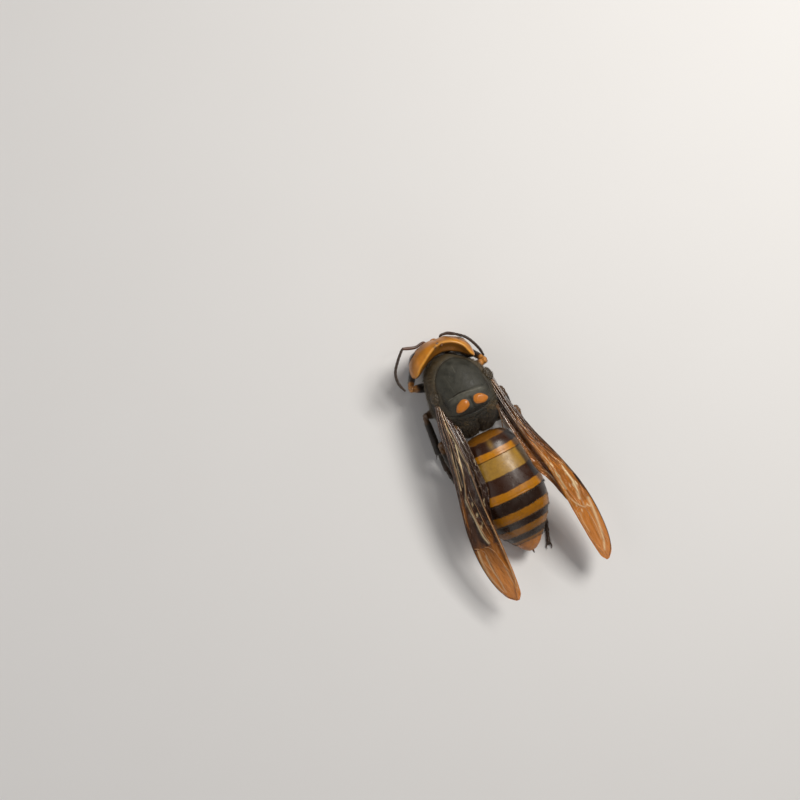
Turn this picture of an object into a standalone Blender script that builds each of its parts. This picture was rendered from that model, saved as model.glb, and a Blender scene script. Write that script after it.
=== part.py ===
"""A life-size Asian giant hornet at rest, one closed solid for each part of the insect.

The hornet faces -Y with its left side at +X, and the floor is z = 0. Every size is in
millimetres until new_object turns it to metres. Shapes are laid out round the middle of the
scutellum, at x = y = 0, and centre_on_floor then moves the whole insect, so that the origin is
under the middle of its outline.
"""

import math

import bmesh
import bpy
import numpy as np
from mathutils import Matrix, Vector

MM = 0.001
GAP = 0.3  # between two nodes that meet
LIMB_SIDES = 8
SMALL_LIMB_SIDES = 5
SMALL_BALL = (8, 6)  # columns and rows of the smallest round swellings
CUTTER_TOP = 18.0  # above the whole insect
SIDES = (("left", 1), ("right", -1))

# Thorax: y, half width, top, bottom, and how far its middle lies to the left.
THORAX = (
    (-10.15, 1.8, 10.2, 7.0, 0.9),
    (-9.4, 2.9, 11.2, 5.6, 1.05),
    (-8.3, 4.0, 11.9, 4.5, 0.9),
    (-7.2, 4.75, 12.4, 3.8, 0.6),
    (-5.0, 5.8, 13.1, 2.6, 0.25),
    (-2.5, 6.4, 13.5, 2.1, 0.05),
    (0.5, 6.3, 13.4, 2.1, 0.0),
    (2.6, 5.75, 12.8, 2.5, 0.0),
    (4.3, 4.7, 10.9, 3.3, 0.0),
    (5.3, 3.5, 9.1, 4.4, 0.0),
    (5.9, 2.3, 7.9, 5.2, 0.0),
)
THORAX_POWER = 2.2
THORAX_SIDES = 24
NECK_DOME = 0.25
MESOTHORAX_REAR = 1.9
PRONOTUM_REAR = -4.0
PRONOTUM_LOWER_EDGE = 5.5
SCUTUM_CENTRE = (0.15, -3.2)
SCUTUM_HALF_WIDTH = 4.7
SCUTUM_HALF_LENGTH = 5.8
SCUTELLUM_CENTRE = (0.0, -0.2)
SCUTELLUM_HALF_WIDTH = 4.2
SCUTELLUM_HALF_LENGTH = 2.1
SCUTELLUM_FLOOR = 10.4
SCUTELLUM_RAISE = 0.25
SCUTELLUM_POWER = 3.5
SCUTUM_SIDES = 32
SCUTELLUM_SIDES = 24
COLLAR_BOX = (9.0, -13.0, 16.0)  # half width, front and top, clear of the whole thorax
TEGULA_CENTRE = (5.55, -3.3, 10.9)
TEGULA_SIZE = (1.0, 1.3, 0.6)
TEGULA_TILT = 38.0
TEGULA_BALL = (12, 7)

# Head: z, half width, front, back, before it is turned and moved to its place.
HEAD = (
    (2.5, 2.2, -12.3, -9.6),
    (3.4, 3.8, -13.0, -8.8),
    (5.0, 5.3, -13.6, -8.1),
    (7.0, 6.1, -13.75, -7.7),
    (8.8, 6.35, -13.7, -7.6),
    (10.2, 6.25, -13.5, -7.6),
    (11.3, 5.7, -13.1, -7.9),
    (12.0, 4.6, -12.7, -8.8),
    (12.4, 2.8, -12.3, -10.4),
)
HEAD_POWER = 2.4
HEAD_WIDEST = 0.85  # where the head is widest, as a share of the way from its front to its back
HEAD_SIDES = 28
HEAD_ROWS = 12
HEAD_DOMES = (0.2, 0.1)  # of its underside and its crown
HEAD_PIVOT_Y = -8.0
HEAD_TURN = -5.0
HEAD_SHIFT = 1.15
# The hollow behind the head: z, how far in front of the pivot it reaches, half width.
OCCIPUT = (
    (0.0, 2.2, 5.0),
    (9.0, 2.5, 5.2),
    (10.6, 2.8, 5.35),
    (11.8, 3.5, 5.8),
    (13.0, 4.6, 6.4),
)
OCCIPUT_POWER = 1.6
EYE_MIDDLE_Z = 7.4
EYE_HALF_HEIGHT = 3.0
EYE_HALF_WIDTH = 1.6
EYE_HALF_DEPTH = 0.95
EYE_SUNK = 0.76
EYE_BEARING = 36.0  # round the head from its side to its face, at the eye's middle
EYE_BEND = 9.0  # how much further towards the face its two ends lie
EYE_ROWS = 9
EYE_SIDES = 12
EYE_FULLNESS = 0.8  # the lower, the blunter its two ends
EYE_TIP_INSET = 0.4
BEARING_STEP = 0.05  # in radians, to find the head's slope beside the eye
CLYPEUS_CENTRE = (0.0, -13.05, 4.75)
CLYPEUS_SIZE = (2.75, 0.95, 1.95)
CLYPEUS_TILT = 11.0
CLYPEUS_BALL = (18, 9)
LOBE_CENTRE = (0.95, -12.85, 2.95)
LOBE_SIZE = (0.8, 0.55, 0.55)
FRONTAL_SHIELD_CENTRE = (0.0, -13.5, 8.3)
FRONTAL_SHIELD_SIZE = (0.75, 0.5, 0.95)
OCELLUS_RADIUS = 0.34
OCELLI = ((0.0, -12.5, 12.0), (0.68, -11.95, 12.22), (-0.68, -11.95, 12.22))
MANDIBLE_PATH = ((3.0, -11.5, 3.7), (2.65, -12.2, 2.7), (1.85, -12.75, 1.9), (1.05, -12.95, 1.55))
MANDIBLE_RADII = (0.75, 0.85, 0.75, 0.6)
TOOTH_STARTS = ((1.0, -12.9, 1.95), (1.0, -12.95, 1.5), (1.05, -12.9, 1.1))
TOOTH_ROOT = (0.35, 0.0, 0.0)  # from a tooth's start into the jaw
TOOTH_TIP = (-0.7, -0.05, -0.1)
TOOTH_RADII = (0.34, 0.3, 0.12)
JAW_SIDES = 10

# Antennae: the scape's root is on the turned head, and the other points are in the open.
SCAPE_ROOT = (1.35, -13.2, 7.9)
SCAPES = {
    "left": ((4.4, -13.85, 8.8), (6.75, -14.6, 9.2)),
    "right": ((-1.8, -13.7, 9.8), (-3.1, -12.75, 11.8)),
}
FLAGELLA = {
    "left": ((8.45, -12.95, 9.0), (9.85, -11.05, 8.5), (10.15, -9.1, 8.0), (9.55, -7.25, 7.5)),
    "right": ((-4.65, -11.3, 12.0), (-5.7, -9.55, 11.4), (-6.3, -8.1, 10.6), (-6.65, -6.85, 9.6)),
}
SCAPE_RADII = (0.3, 0.36, 0.38)
FLAGELLUM_RADIUS = 0.3
FLAGELLUM_JOINTS = 11
JOINT_LENGTH = 0.88  # the rest is the narrow neck to the next joint
JOINT_RADII = (0.84, 1.08)  # at a joint's start and end, as shares of the radius
FLAGELLUM_TAPER = 0.25

# Abdomen: y, half width, half height, middle, and how far its middle lies to the left. The
# belly is pressed flat at the floor.
ABDOMEN = (
    (6.3, 1.8, 1.5, 6.5, 0.0),
    (6.65, 3.4, 2.9, 6.45, 0.0),
    (7.3, 4.6, 4.0, 6.3, 0.0),
    (8.3, 5.3, 4.7, 6.15, 0.0),
    (9.8, 5.85, 5.2, 6.0, 0.0),
    (12.0, 6.35, 5.6, 5.8, 0.0),
    (15.0, 6.8, 5.85, 5.7, 0.0),
    (18.0, 7.0, 5.9, 5.7, 0.0),
    (19.9, 7.0, 5.85, 5.65, 0.0),
    (21.8, 6.75, 5.6, 5.5, 0.1),
    (23.4, 6.35, 5.25, 5.3, 0.15),
    (24.8, 5.7, 4.7, 5.05, 0.2),
    (26.3, 4.75, 3.95, 4.75, 0.25),
    (27.6, 3.75, 3.1, 4.4, 0.25),
    (29.0, 2.6, 2.1, 3.95, 0.25),
    (30.2, 1.55, 1.2, 3.6, 0.3),
    (30.8, 0.75, 0.6, 3.45, 0.35),
)
ABDOMEN_POWER = 2.1
ABDOMEN_SIDES = 28
SEGMENT_EDGES = (6.3, 11.2, 19.6, 23.9, 26.7, 28.5, 30.8)
SEGMENT_RINGS = (7, 6, 4, 4, 3, 4)
SEGMENT_RIM = 0.018  # how far a segment's rear edge stands out, as a share of its radius
STERNITE_INSET = 0.035
STERNITE_EDGE = -25.0  # bearing below the flank where the belly plates start
STING_LENGTH = 0.9
STING_DROP = 0.18
STING_RADII = (0.27, 0.2, 0.08)
STING_SIDES = 6

# Wings: y at the root and tips, x there on each side, and the height of the axis.
WING_ROOT_Y = -2.4
WING_TIP_Y = {"left": 37.6, "right": 38.4}
WING_AXES = {"left": (5.3, 6.9), "right": (5.4, 10.6)}
WING_HEIGHTS = (
    (-2.4, 10.5),
    (4.0, 11.15),
    (10.0, 11.4),
    (17.0, 11.25),
    (24.0, 10.2),
    (30.0, 8.8),
    (38.4, 6.8),
)
WING_ROLL = 25.0
WING_CAMBER = 0.35
CAMBER_MIDDLE = 1.5
CAMBER_REACH = 3.5
WING_THICKNESS = 0.5
ROOT_THICKENING = 0.6  # share by which a wing is thicker at its root
ROOT_THICKENING_END = 0.1
ROOT_PINCH = {"left": -0.35, "right": 0.85}  # how much narrower the outer edge is near the root
PINCH_PLACES = (0.0, 0.12, 0.42)  # where the pinch starts, is full and ends, as shares
VEIN_HEIGHT = 0.22
VEIN_FOOT = 0.035  # half width of a vein's foot, as a share of the wing's width
CROSS_VEIN_FOOT = 0.011
CROSS_VEIN_REACH = 0.05
# Forewing: share of the length, outer edge and inner edge, as offsets from the axis.
FOREWING = (
    (0.0, 0.7, -0.7),
    (0.1, 1.4, -0.9),
    (0.22, 2.0, -0.9),
    (0.33, 2.7, -0.7),
    (0.42, 3.45, -0.35),
    (0.52, 4.15, -0.2),
    (0.62, 4.7, -0.3),
    (0.72, 4.8, -0.45),
    (0.8, 4.5, -0.5),
    (0.88, 3.8, -0.5),
    (0.94, 2.9, -0.35),
    (0.98, 1.9, -0.1),
    (1.0, 0.9, 0.35),
)
FOREWING_VEINS = (0.12, 0.42, 0.7)
FOREWING_CROSS_VEINS = (0.46, 0.8)
FOREWING_ROWS = (0.0, 0.06, 0.14, 0.24, 0.35, 0.56, 0.66, 0.73, 0.87, 0.92, 0.965, 1.0)
HINDWING_SPAN = (0.035, 0.68)  # of the forewing's length
HINDWING = (
    (0.0, 0.5, -0.6),
    (0.16, 0.9, -1.25),
    (0.4, 1.4, -1.55),
    (0.55, 1.9, -1.6),
    (0.68, 2.3, -1.5),
    (0.76, 2.4, -0.8),
    (0.86, 2.3, -0.2),
    (0.95, 1.8, 0.2),
    (1.0, 1.2, 0.6),
)
HINDWING_VEINS = (0.3, 0.68)
HINDWING_CROSS_VEINS = (0.6,)
HINDWING_ROWS = (0.0, 0.08, 0.2, 0.32, 0.44, 0.7, 0.76, 0.84, 0.94, 1.0)
HINDWING_DROP = 1.08
ZIGZAG = 0.012  # how far a cross vein steps up and down the wing, as a share of its length
STIGMA_PLACE = 0.62
STIGMA_HALF_LENGTH = 0.07
STIGMA_HEIGHT = 0.2

# Legs: hip, end of the coxa, knee, ankle, and then the points that the tarsus passes.
LEGS = {
    "fore_left": ((2.1, -6.6, 4.4), (3.2, -5.6, 2.4), (8.2, -7.2, 4.8), (5.6, -10.8, 1.5),
                  (4.4, -11.0, 0.65), (3.0, -10.4, 0.34), (1.9, -9.2, 0.28)),
    "fore_right": ((-1.7, -6.6, 4.4), (-2.8, -5.6, 2.4), (-7.5, -6.1, 4.8), (-5.1, -10.2, 1.5),
                   (-3.7, -10.6, 0.65), (-2.3, -10.1, 0.34), (-1.3, -9.0, 0.28)),
    "mid_left": ((2.6, -1.6, 3.4), (3.0, -1.2, 1.6), (8.0, -1.2, 4.6), (8.3, 6.4, 1.5),
                 (8.3, 9.6, 0.6), (7.9, 12.6, 0.34), (7.5, 15.0, 0.28)),
    "mid_right": ((-2.6, -1.6, 3.4), (-3.0, -1.2, 1.6), (-7.9, 0.4, 4.5), (-7.9, 7.4, 1.4),
                  (-8.1, 10.4, 0.6), (-8.2, 13.2, 0.34), (-8.3, 15.6, 0.28)),
    "hind_left": ((2.4, 3.0, 3.6), (2.6, 4.2, 1.8), (7.9, 5.2, 5.8), (6.6, 16.4, 1.6),
                  (5.8, 19.6, 0.55), (4.4, 23.8, 0.34), (2.3, 27.6, 0.28), (0.6, 29.9, 0.28)),
    "hind_right": ((-2.4, 3.0, 3.6), (-2.6, 4.2, 1.8), (-8.6, 5.0, 5.9), (-7.0, 16.6, 1.6),
                   (-6.4, 19.6, 0.55), (-5.6, 23.5, 0.34), (-4.9, 27.3, 0.28), (-3.5, 31.5, 0.28)),
}
LEG_THICKNESS = {"fore": 0.92, "mid": 1.0, "hind": 1.1}
COXA_RADII = (1.25, 1.3, 0.95)
FEMUR_RADII = (0.6, 0.62, 0.95, 1.0, 0.85, 0.62)
FEMUR_SHARES = (-0.04, 0.08, 0.2, 0.5, 0.8, 1.0)
FEMUR_BOW = 0.35
TIBIA_RADII = (0.5, 0.68, 0.74, 0.72, 0.6)
TIBIA_SHARES = (0.02, 0.15, 0.45, 0.8, 1.0)
SPUR_LENGTH = 1.3
SPUR_RADII = (0.24, 0.18, 0.05)
SPUR_PLACE = 0.93  # share of the tibia
SPUR_SPREAD = (0.5, 0.8)  # how far its root and its tip lie to the side
SPUR_MIDDLE = 0.6
SPUR_TIP_HEIGHT = 0.4
SPURS = {"fore": (1.0,), "mid": (1.0, -1.0), "hind": (1.0, -1.0)}
TARSUS_RADIUS = 0.5
TARSUS_END_RADIUS = 0.36
TARSOMERES = (0.0, 0.44, 0.64, 0.77, 0.86, 1.0)
TARSOMERE_NECK = 0.008  # between two joints, as a share of the tarsus
TARSOMERE_RADII = (0.74, 0.92, 1.08)
TARSUS_SIDES = 6
CLAW_PATH = ((-0.2, 0.12, 0.0), (0.55, 0.585, 0.1), (1.24, 0.74, -0.16))  # ahead, aside and up
CLAW_RADII = (0.24, 0.2, 0.06)

COLOURS = {
    "head": (0.72, 0.36, 0.04), "eye": (0.06, 0.02, 0.01), "mandible": (0.55, 0.25, 0.03),
    "antenna": (0.09, 0.04, 0.015), "thorax": (0.03, 0.025, 0.015), "pronotum": (0.11, 0.06, 0.02),
    "scutellum": (0.3, 0.12, 0.01), "dark_band": (0.05, 0.025, 0.015),
    "yellow_band": (0.55, 0.33, 0.03), "tip": (0.6, 0.28, 0.03), "wing": (0.35, 0.14, 0.03),
    "leg": (0.05, 0.025, 0.012), "foot": (0.09, 0.045, 0.02),
}
ROUGHNESS = {"eye": 0.15, "thorax": 0.6, "wing": 0.25}
PLAIN_ROUGHNESS = 0.35
SHARP_ANGLE = 40.0
SEGMENT_COLOURS = ("yellow_band", "yellow_band", "dark_band", "dark_band", "dark_band", "tip")


# ---- curves and meshes ----


def smooth(stations, t):
    """The values at t on a smooth curve through the stations, whose first column is t."""
    table = np.asarray(stations, float)
    knots = table[:, 0]
    slopes = np.gradient(table, knots, axis=0)
    i = int(np.clip(np.searchsorted(knots, t) - 1, 0, len(knots) - 2))
    span = knots[i + 1] - knots[i]
    u = (t - knots[i]) / span
    start = (1 + 2 * u) * (1 - u) ** 2 * table[i] + u * (1 - u) ** 2 * span * slopes[i]
    end = u * u * (3 - 2 * u) * table[i + 1] + u * u * (u - 1) * span * slopes[i + 1]
    return (start + end)[1:]


def path_points(points, shares):
    """Points at shares of the length of a smooth path through the given points."""
    knots = np.asarray(points, float)
    steps = np.linalg.norm(np.diff(knots, axis=0), axis=1)
    along = np.concatenate([[0.0], np.cumsum(steps)])
    stations = np.column_stack([along / along[-1], knots])
    return [Vector(smooth(stations, share)) for share in shares]


def bearings(count):
    return [2 * math.pi * k / count for k in range(count)]


def oval(bearing, half_width, half_height, power=2.0):
    """A point of a superellipse."""
    across, up = math.cos(bearing), math.sin(bearing)
    share = 2 / power
    return (
        math.copysign(abs(across) ** share, across) * half_width,
        math.copysign(abs(up) ** share, up) * half_height,
    )


def new_object(name, points, faces):
    """A mesh object from points in millimetres, with its faces turned outwards."""
    mesh = bpy.data.meshes.new(name)
    mesh.from_pydata([Vector(point) * MM for point in points], [], faces)
    shape = bmesh.new()
    shape.from_mesh(mesh)
    bmesh.ops.recalc_face_normals(shape, faces=shape.faces)
    shape.to_mesh(mesh)
    shape.free()
    obj = bpy.data.objects.new(name, mesh)
    bpy.context.scene.collection.objects.link(obj)
    return obj


def shell(name, rings, tips):
    """A closed body from rings of points, closed at each end by a tip point."""
    count = len(rings[0])
    points = [point for ring in rings for point in ring] + list(tips)
    first_tip, last_tip = len(points) - 2, len(points) - 1
    last_ring = (len(rings) - 1) * count
    faces = []
    for k in range(count):
        k_next = (k + 1) % count
        for row in range(0, last_ring, count):
            faces.append((row + k, row + k_next, row + count + k_next, row + count + k))
        faces.append((first_tip, k_next, k))
        faces.append((last_tip, last_ring + k, last_ring + k_next))
    return new_object(name, points, faces)


def limb(name, path, radii, sides=LIMB_SIDES, grow=0.0, on_floor=False, dome=0.5):
    """A round tapered limb along the path, with a low dome at each end."""
    path = [Vector(point) for point in path]
    last = len(path) - 1
    normal = Vector((0.0, 0.0, 1.0))
    if abs((path[-1] - path[0]).normalized().z) > 0.8:
        normal = Vector((0.0, 1.0, 0.0))
    rings = []
    for i, point in enumerate(path):
        ahead = (path[min(i + 1, last)] - path[max(i - 1, 0)]).normalized()
        normal = (normal - ahead * normal.dot(ahead)).normalized()
        side = ahead.cross(normal)
        radius = radii[i] + grow
        ring = []
        lean = math.pi / sides if sides % 4 == 0 else 0.0  # puts a flat, not an edge, underneath
        for bearing in bearings(sides):
            across, up = oval(bearing + lean, radius, radius)
            ring.append(point + side * across + normal * up)
        rings.append(ring)
    start = path[0] - (path[1] - path[0]).normalized() * (radii[0] + grow) * dome
    end = path[-1] + (path[-1] - path[-2]).normalized() * (radii[-1] + grow) * dome
    tips = [start, end]
    if on_floor:
        rings = [[Vector((p.x, p.y, max(p.z, 0.0))) for p in ring] for ring in rings]
    return shell(name, rings, tips)


def ball(name, centre, half_sizes, turn=None, counts=(12, 8), grow=0.0):
    """An ellipsoid, turned about its own centre."""
    mesh = bmesh.new()
    bmesh.ops.create_uvsphere(mesh, u_segments=counts[0], v_segments=counts[1], radius=1.0)
    turn = turn or Matrix.Identity(3)
    points = [
        turn @ Vector([c * (size + grow) for c, size in zip(vert.co, half_sizes)]) + Vector(centre)
        for vert in mesh.verts
    ]
    faces = [[vert.index for vert in face.verts] for face in mesh.faces]
    mesh.free()
    return new_object(name, points, faces)


def box(name, low, high):
    corners = [(x, y, z) for x in (low[0], high[0]) for y in (low[1], high[1]) for z in (low[2], high[2])]
    faces = [(0, 1, 3, 2), (4, 6, 7, 5), (0, 4, 5, 1), (2, 3, 7, 6), (0, 2, 6, 4), (1, 5, 7, 3)]
    return new_object(name, corners, faces)


def prism(name, centre, half_width, half_length, low, power, sides):
    """An upright prism on a superellipse, from low up to the top of all cutters."""
    rings = []
    for z in (low, CUTTER_TOP):
        outline = [oval(bearing, half_width, half_length, power) for bearing in bearings(sides)]
        rings.append([(centre[0] + x, centre[1] + y, z) for x, y in outline])
    return shell(name, rings, [(*centre, low), (*centre, CUTTER_TOP)])


# ---- joining and cutting ----


def remove(obj):
    bpy.data.objects.remove(obj, do_unlink=True)


def is_closed(mesh):
    """Whether the mesh has faces, and two of them at every edge."""
    shape = bmesh.new()
    shape.from_mesh(mesh)
    closed = bool(shape.faces) and all(edge.is_manifold for edge in shape.edges)
    shape.free()
    return closed


def apply_boolean(obj, modifier):
    """Applies the Boolean by the exact solver, or by the manifold one where the exact one fails."""
    for solver in ("EXACT", "MANIFOLD"):
        modifier.solver = solver
        graph = bpy.context.evaluated_depsgraph_get()
        mesh = bpy.data.meshes.new_from_object(obj.evaluated_get(graph))
        if is_closed(mesh):
            break
    obj.modifiers.clear()
    obj.data = mesh


def combine(obj, other, operation):
    """Applies a Boolean with another object, and removes the other."""
    modifier = obj.modifiers.new(operation.title(), "BOOLEAN")
    modifier.operation = operation
    modifier.object = other
    apply_boolean(obj, modifier)
    remove(other)


def cut(obj, *cutters):
    for cutter in cutters:
        combine(obj, cutter, "DIFFERENCE")
    keep_largest(obj)


def fuse(obj, pieces):
    """Joins the pieces to the object by one Boolean union on a collection."""
    collection = bpy.data.collections.new("pieces")
    bpy.context.scene.collection.children.link(collection)
    for piece in pieces:
        bpy.context.scene.collection.objects.unlink(piece)
        collection.objects.link(piece)
    modifier = obj.modifiers.new("Join", "BOOLEAN")
    modifier.operation = "UNION"
    modifier.operand_type = "COLLECTION"
    modifier.collection = collection
    apply_boolean(obj, modifier)
    for piece in pieces:
        remove(piece)
    bpy.data.collections.remove(collection)
    keep_largest(obj)


def keep_largest(obj):
    """Keeps only the largest closed surface of a mesh."""
    shape = bmesh.new()
    shape.from_mesh(obj.data)
    unseen = set(shape.faces)
    surfaces = []
    while unseen:
        surface = set()
        edge_of_growth = [next(iter(unseen))]
        while edge_of_growth:
            face = edge_of_growth.pop()
            if face in unseen:
                unseen.remove(face)
                surface.add(face)
                edge_of_growth += [near for edge in face.edges for near in edge.link_faces]
        surfaces.append(surface)
    largest = max(surfaces, key=lambda surface: sum(face.calc_area() for face in surface))
    scraps = [face for surface in surfaces if surface is not largest for face in surface]
    bmesh.ops.delete(shape, geom=scraps, context="FACES")
    bmesh.ops.recalc_face_normals(shape, faces=shape.faces)
    shape.to_mesh(obj.data)
    shape.free()


# ---- thorax ----


def thorax_solid(name, start, end, grow=0.0):
    """The thorax from one y to another, closed flat where it is cut short."""
    knots = [row[0] for row in THORAX]
    ys = sorted({start, end, *[y for y in knots if start < y < end]})
    rings = []
    for y in ys:
        half_width, top, bottom, shift = smooth(THORAX, y)
        middle, half_height = (top + bottom) / 2, (top - bottom) / 2
        ring = []
        for bearing in bearings(THORAX_SIDES):
            x, z = oval(bearing, half_width + grow, half_height + grow, THORAX_POWER)
            ring.append((shift + x, y, middle + z))
        rings.append(ring)
    tips = []
    for y, reach in ((ys[0], -grow - NECK_DOME), (ys[-1], grow)):
        top, bottom, shift = smooth(THORAX, y)[1:]
        tips.append((shift, y + (reach if y in (knots[0], knots[-1]) else 0.0), (top + bottom) / 2))
    return shell(name, rings, tips)


def whole_thorax(grow):
    return thorax_solid("thorax_cutter", THORAX[0][0], THORAX[-1][0], grow)


def pronotum_region(grow):
    """The space of the collar: in front of the scutum and beside it, above the propleura."""
    half_width, front, top = COLLAR_BOX
    low = (-half_width, front, PRONOTUM_LOWER_EDGE - grow)
    region = box("collar", low, (half_width, PRONOTUM_REAR + grow, top))
    scutum = prism(
        "scutum", SCUTUM_CENTRE, SCUTUM_HALF_WIDTH - grow, SCUTUM_HALF_LENGTH - grow, 0.0, 2.0,
        SCUTUM_SIDES,
    )
    combine(region, scutum, "DIFFERENCE")
    return region


def scutellum_prism(grow):
    return prism(
        "scutellum_prism",
        SCUTELLUM_CENTRE,
        SCUTELLUM_HALF_WIDTH + grow,
        SCUTELLUM_HALF_LENGTH + grow,
        SCUTELLUM_FLOOR - grow,
        SCUTELLUM_POWER,
        SCUTELLUM_SIDES,
    )


def make_thorax():
    pronotum = thorax_solid("pronotum", THORAX[0][0], MESOTHORAX_REAR)
    combine(pronotum, pronotum_region(0.0), "INTERSECT")
    keep_largest(pronotum)
    mesothorax = thorax_solid("mesothorax", THORAX[0][0], MESOTHORAX_REAR)
    cut(mesothorax, pronotum_region(GAP), scutellum_prism(GAP))
    scutellum = thorax_solid("scutellum", THORAX[2][0], THORAX[-2][0], SCUTELLUM_RAISE)
    combine(scutellum, scutellum_prism(0.0), "INTERSECT")
    keep_largest(scutellum)
    propodeum = thorax_solid("propodeum", MESOTHORAX_REAR + GAP, THORAX[-1][0])
    for name, side in SIDES:
        scale = tegula(f"tegula_{name}", side, 0.0)
        cut(scale, whole_thorax(GAP))
        paint(scale, "mandible")
    paint(pronotum, "pronotum")
    paint(mesothorax, "thorax")
    paint(scutellum, "scutellum")
    paint(propodeum, "thorax")


def tegula(name, side, grow):
    turn = Matrix.Rotation(math.radians(TEGULA_TILT) * side, 3, "Y")
    x, y, z = TEGULA_CENTRE
    return ball(name, (side * x, y, z), TEGULA_SIZE, turn, TEGULA_BALL, grow)


# ---- head ----


def head_placing():
    pivot = Matrix.Translation((0.0, HEAD_PIVOT_Y, 0.0))
    turn = Matrix.Rotation(math.radians(HEAD_TURN), 4, "Z")
    return Matrix.Translation((HEAD_SHIFT, 0.0, 0.0)) @ pivot @ turn @ pivot.inverted()


def on_head(point):
    return head_placing() @ Vector(point)


def place_on_head(obj):
    """Turns and moves a piece that was modelled round the unturned head."""
    placing = head_placing()
    for vert in obj.data.vertices:
        vert.co = placing @ (vert.co / MM) * MM
    return obj


def head_point(z, bearing, grow=0.0):
    """A point of the head's outline at one height: bearing 0 is its left, 90 its face."""
    half_width, front, back = smooth(HEAD, z)
    widest = front + (back - front) * HEAD_WIDEST
    depth = (widest - front if math.sin(bearing) > 0 else back - widest) + grow
    across, ahead = oval(bearing, half_width + grow, depth, HEAD_POWER)
    return Vector((across, widest - ahead, z))


def head_solid(name, grow=0.0):
    bottom, top = HEAD[0][0], HEAD[-1][0]
    rings = []
    for row in range(HEAD_ROWS + 1):
        share = row / HEAD_ROWS
        z = bottom + (top - bottom) * share
        ring = [head_point(z, bearing, grow) for bearing in bearings(HEAD_SIDES)]
        rings.append([point + Vector((0.0, 0.0, grow * (2 * share - 1))) for point in ring])
    middle = [(row[2] + row[3]) / 2 for row in (HEAD[0], HEAD[-1])]
    tips = [(0.0, middle[0], bottom - HEAD_DOMES[0] - grow), (0.0, middle[1], top + HEAD_DOMES[1] + grow)]
    return place_on_head(shell(name, rings, tips))


def occiput_hollow():
    """The space behind the head, which takes the front of the thorax."""
    rings = []
    for z, reach, half_width in OCCIPUT:
        outline = [oval(bearing, half_width, reach, OCCIPUT_POWER) for bearing in bearings(HEAD_SIDES)]
        rings.append([(x, HEAD_PIVOT_Y + y, z) for x, y in outline])
    tips = [(0.0, HEAD_PIVOT_Y, OCCIPUT[0][0]), (0.0, HEAD_PIVOT_Y, OCCIPUT[-1][0])]
    return place_on_head(shell("occiput", rings, tips))


def eye_solid(name, side, grow=0.0):
    """A bean that follows the head's surface, with its two ends bent towards the face."""
    rings = []
    for row in range(1, EYE_ROWS):
        height = math.cos(math.pi * row / EYE_ROWS)
        width = math.sin(math.pi * row / EYE_ROWS) ** EYE_FULLNESS
        z = EYE_MIDDLE_Z + (EYE_HALF_HEIGHT + grow) * height
        bearing = math.radians(EYE_BEARING + EYE_BEND * height**2)
        surface = head_point(z, bearing)
        ahead_of, behind = head_point(z, bearing + BEARING_STEP), head_point(z, bearing - BEARING_STEP)
        along = (ahead_of - behind).normalized()
        outward = Vector((-along.y, along.x, 0.0))
        if outward.x < 0:
            outward = -outward
        centre = surface - outward * EYE_SUNK
        ring = []
        for turn in bearings(EYE_SIDES):
            ahead, out = oval(turn, EYE_HALF_WIDTH * width + grow, EYE_HALF_DEPTH * width**0.5 + grow)
            point = centre + along * ahead + outward * out
            ring.append((side * point.x, point.y, point.z))
        rings.append(ring)
    tips = []
    for way in (1, -1):
        z = EYE_MIDDLE_Z + way * (EYE_HALF_HEIGHT + grow)
        point = head_point(z, math.radians(EYE_BEARING + EYE_BEND))
        tips.append((side * (point.x - EYE_TIP_INSET), point.y + EYE_TIP_INSET, z))
    return place_on_head(shell(name, rings, tips))


def make_mandible(name, side):
    path = [(side * x, y, z) for x, y, z in MANDIBLE_PATH]
    jaw = limb(name, path, MANDIBLE_RADII, JAW_SIDES)
    mirror = Matrix.Scale(side, 3, Vector((1.0, 0.0, 0.0)))
    teeth = []
    for tooth in TOOTH_STARTS:
        start = mirror @ (Vector(tooth) + Vector(TOOTH_ROOT))
        end = mirror @ (Vector(tooth) + Vector(TOOTH_TIP))
        line = (start, start.lerp(end, 0.5), end)
        teeth.append(limb("tooth", line, TOOTH_RADII, SMALL_LIMB_SIDES))
    fuse(jaw, teeth)
    place_on_head(jaw)
    face = [place_on_head(piece) for piece in (clypeus_ball(GAP), clypeus_lobe(side, GAP))]
    cut(jaw, head_solid("head_cutter", GAP), *face)
    paint(jaw, "mandible")


def clypeus_ball(grow):
    turn = Matrix.Rotation(math.radians(CLYPEUS_TILT), 3, "X")
    return ball("clypeus", CLYPEUS_CENTRE, CLYPEUS_SIZE, turn, CLYPEUS_BALL, grow)


def clypeus_lobe(side, grow):
    x, y, z = LOBE_CENTRE
    return ball("clypeus_lobe", (side * x, y, z), LOBE_SIZE, None, SMALL_BALL, grow)


def make_head():
    head = head_solid("head")
    face = [clypeus_ball(0.0), ball("frontal_shield", FRONTAL_SHIELD_CENTRE, FRONTAL_SHIELD_SIZE)]
    face += [clypeus_lobe(side, 0.0) for _, side in SIDES]
    for centre in OCELLI:
        face.append(ball("ocellus", centre, [OCELLUS_RADIUS] * 3, None, SMALL_BALL))
    fuse(head, [place_on_head(piece) for piece in face])
    cutters = [eye_solid("socket", side, GAP) for _, side in SIDES]
    cut(head, occiput_hollow(), whole_thorax(GAP), *cutters)
    paint(head, "head")
    for name, side in SIDES:
        paint(eye_solid(f"eye_{name}", side), "eye")
        make_mandible(f"mandible_{name}", side)
        make_antenna(name, side)


def scape_path(name, side):
    x, y, z = SCAPE_ROOT
    return [on_head((side * x, y, z)), *SCAPES[name]]


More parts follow.
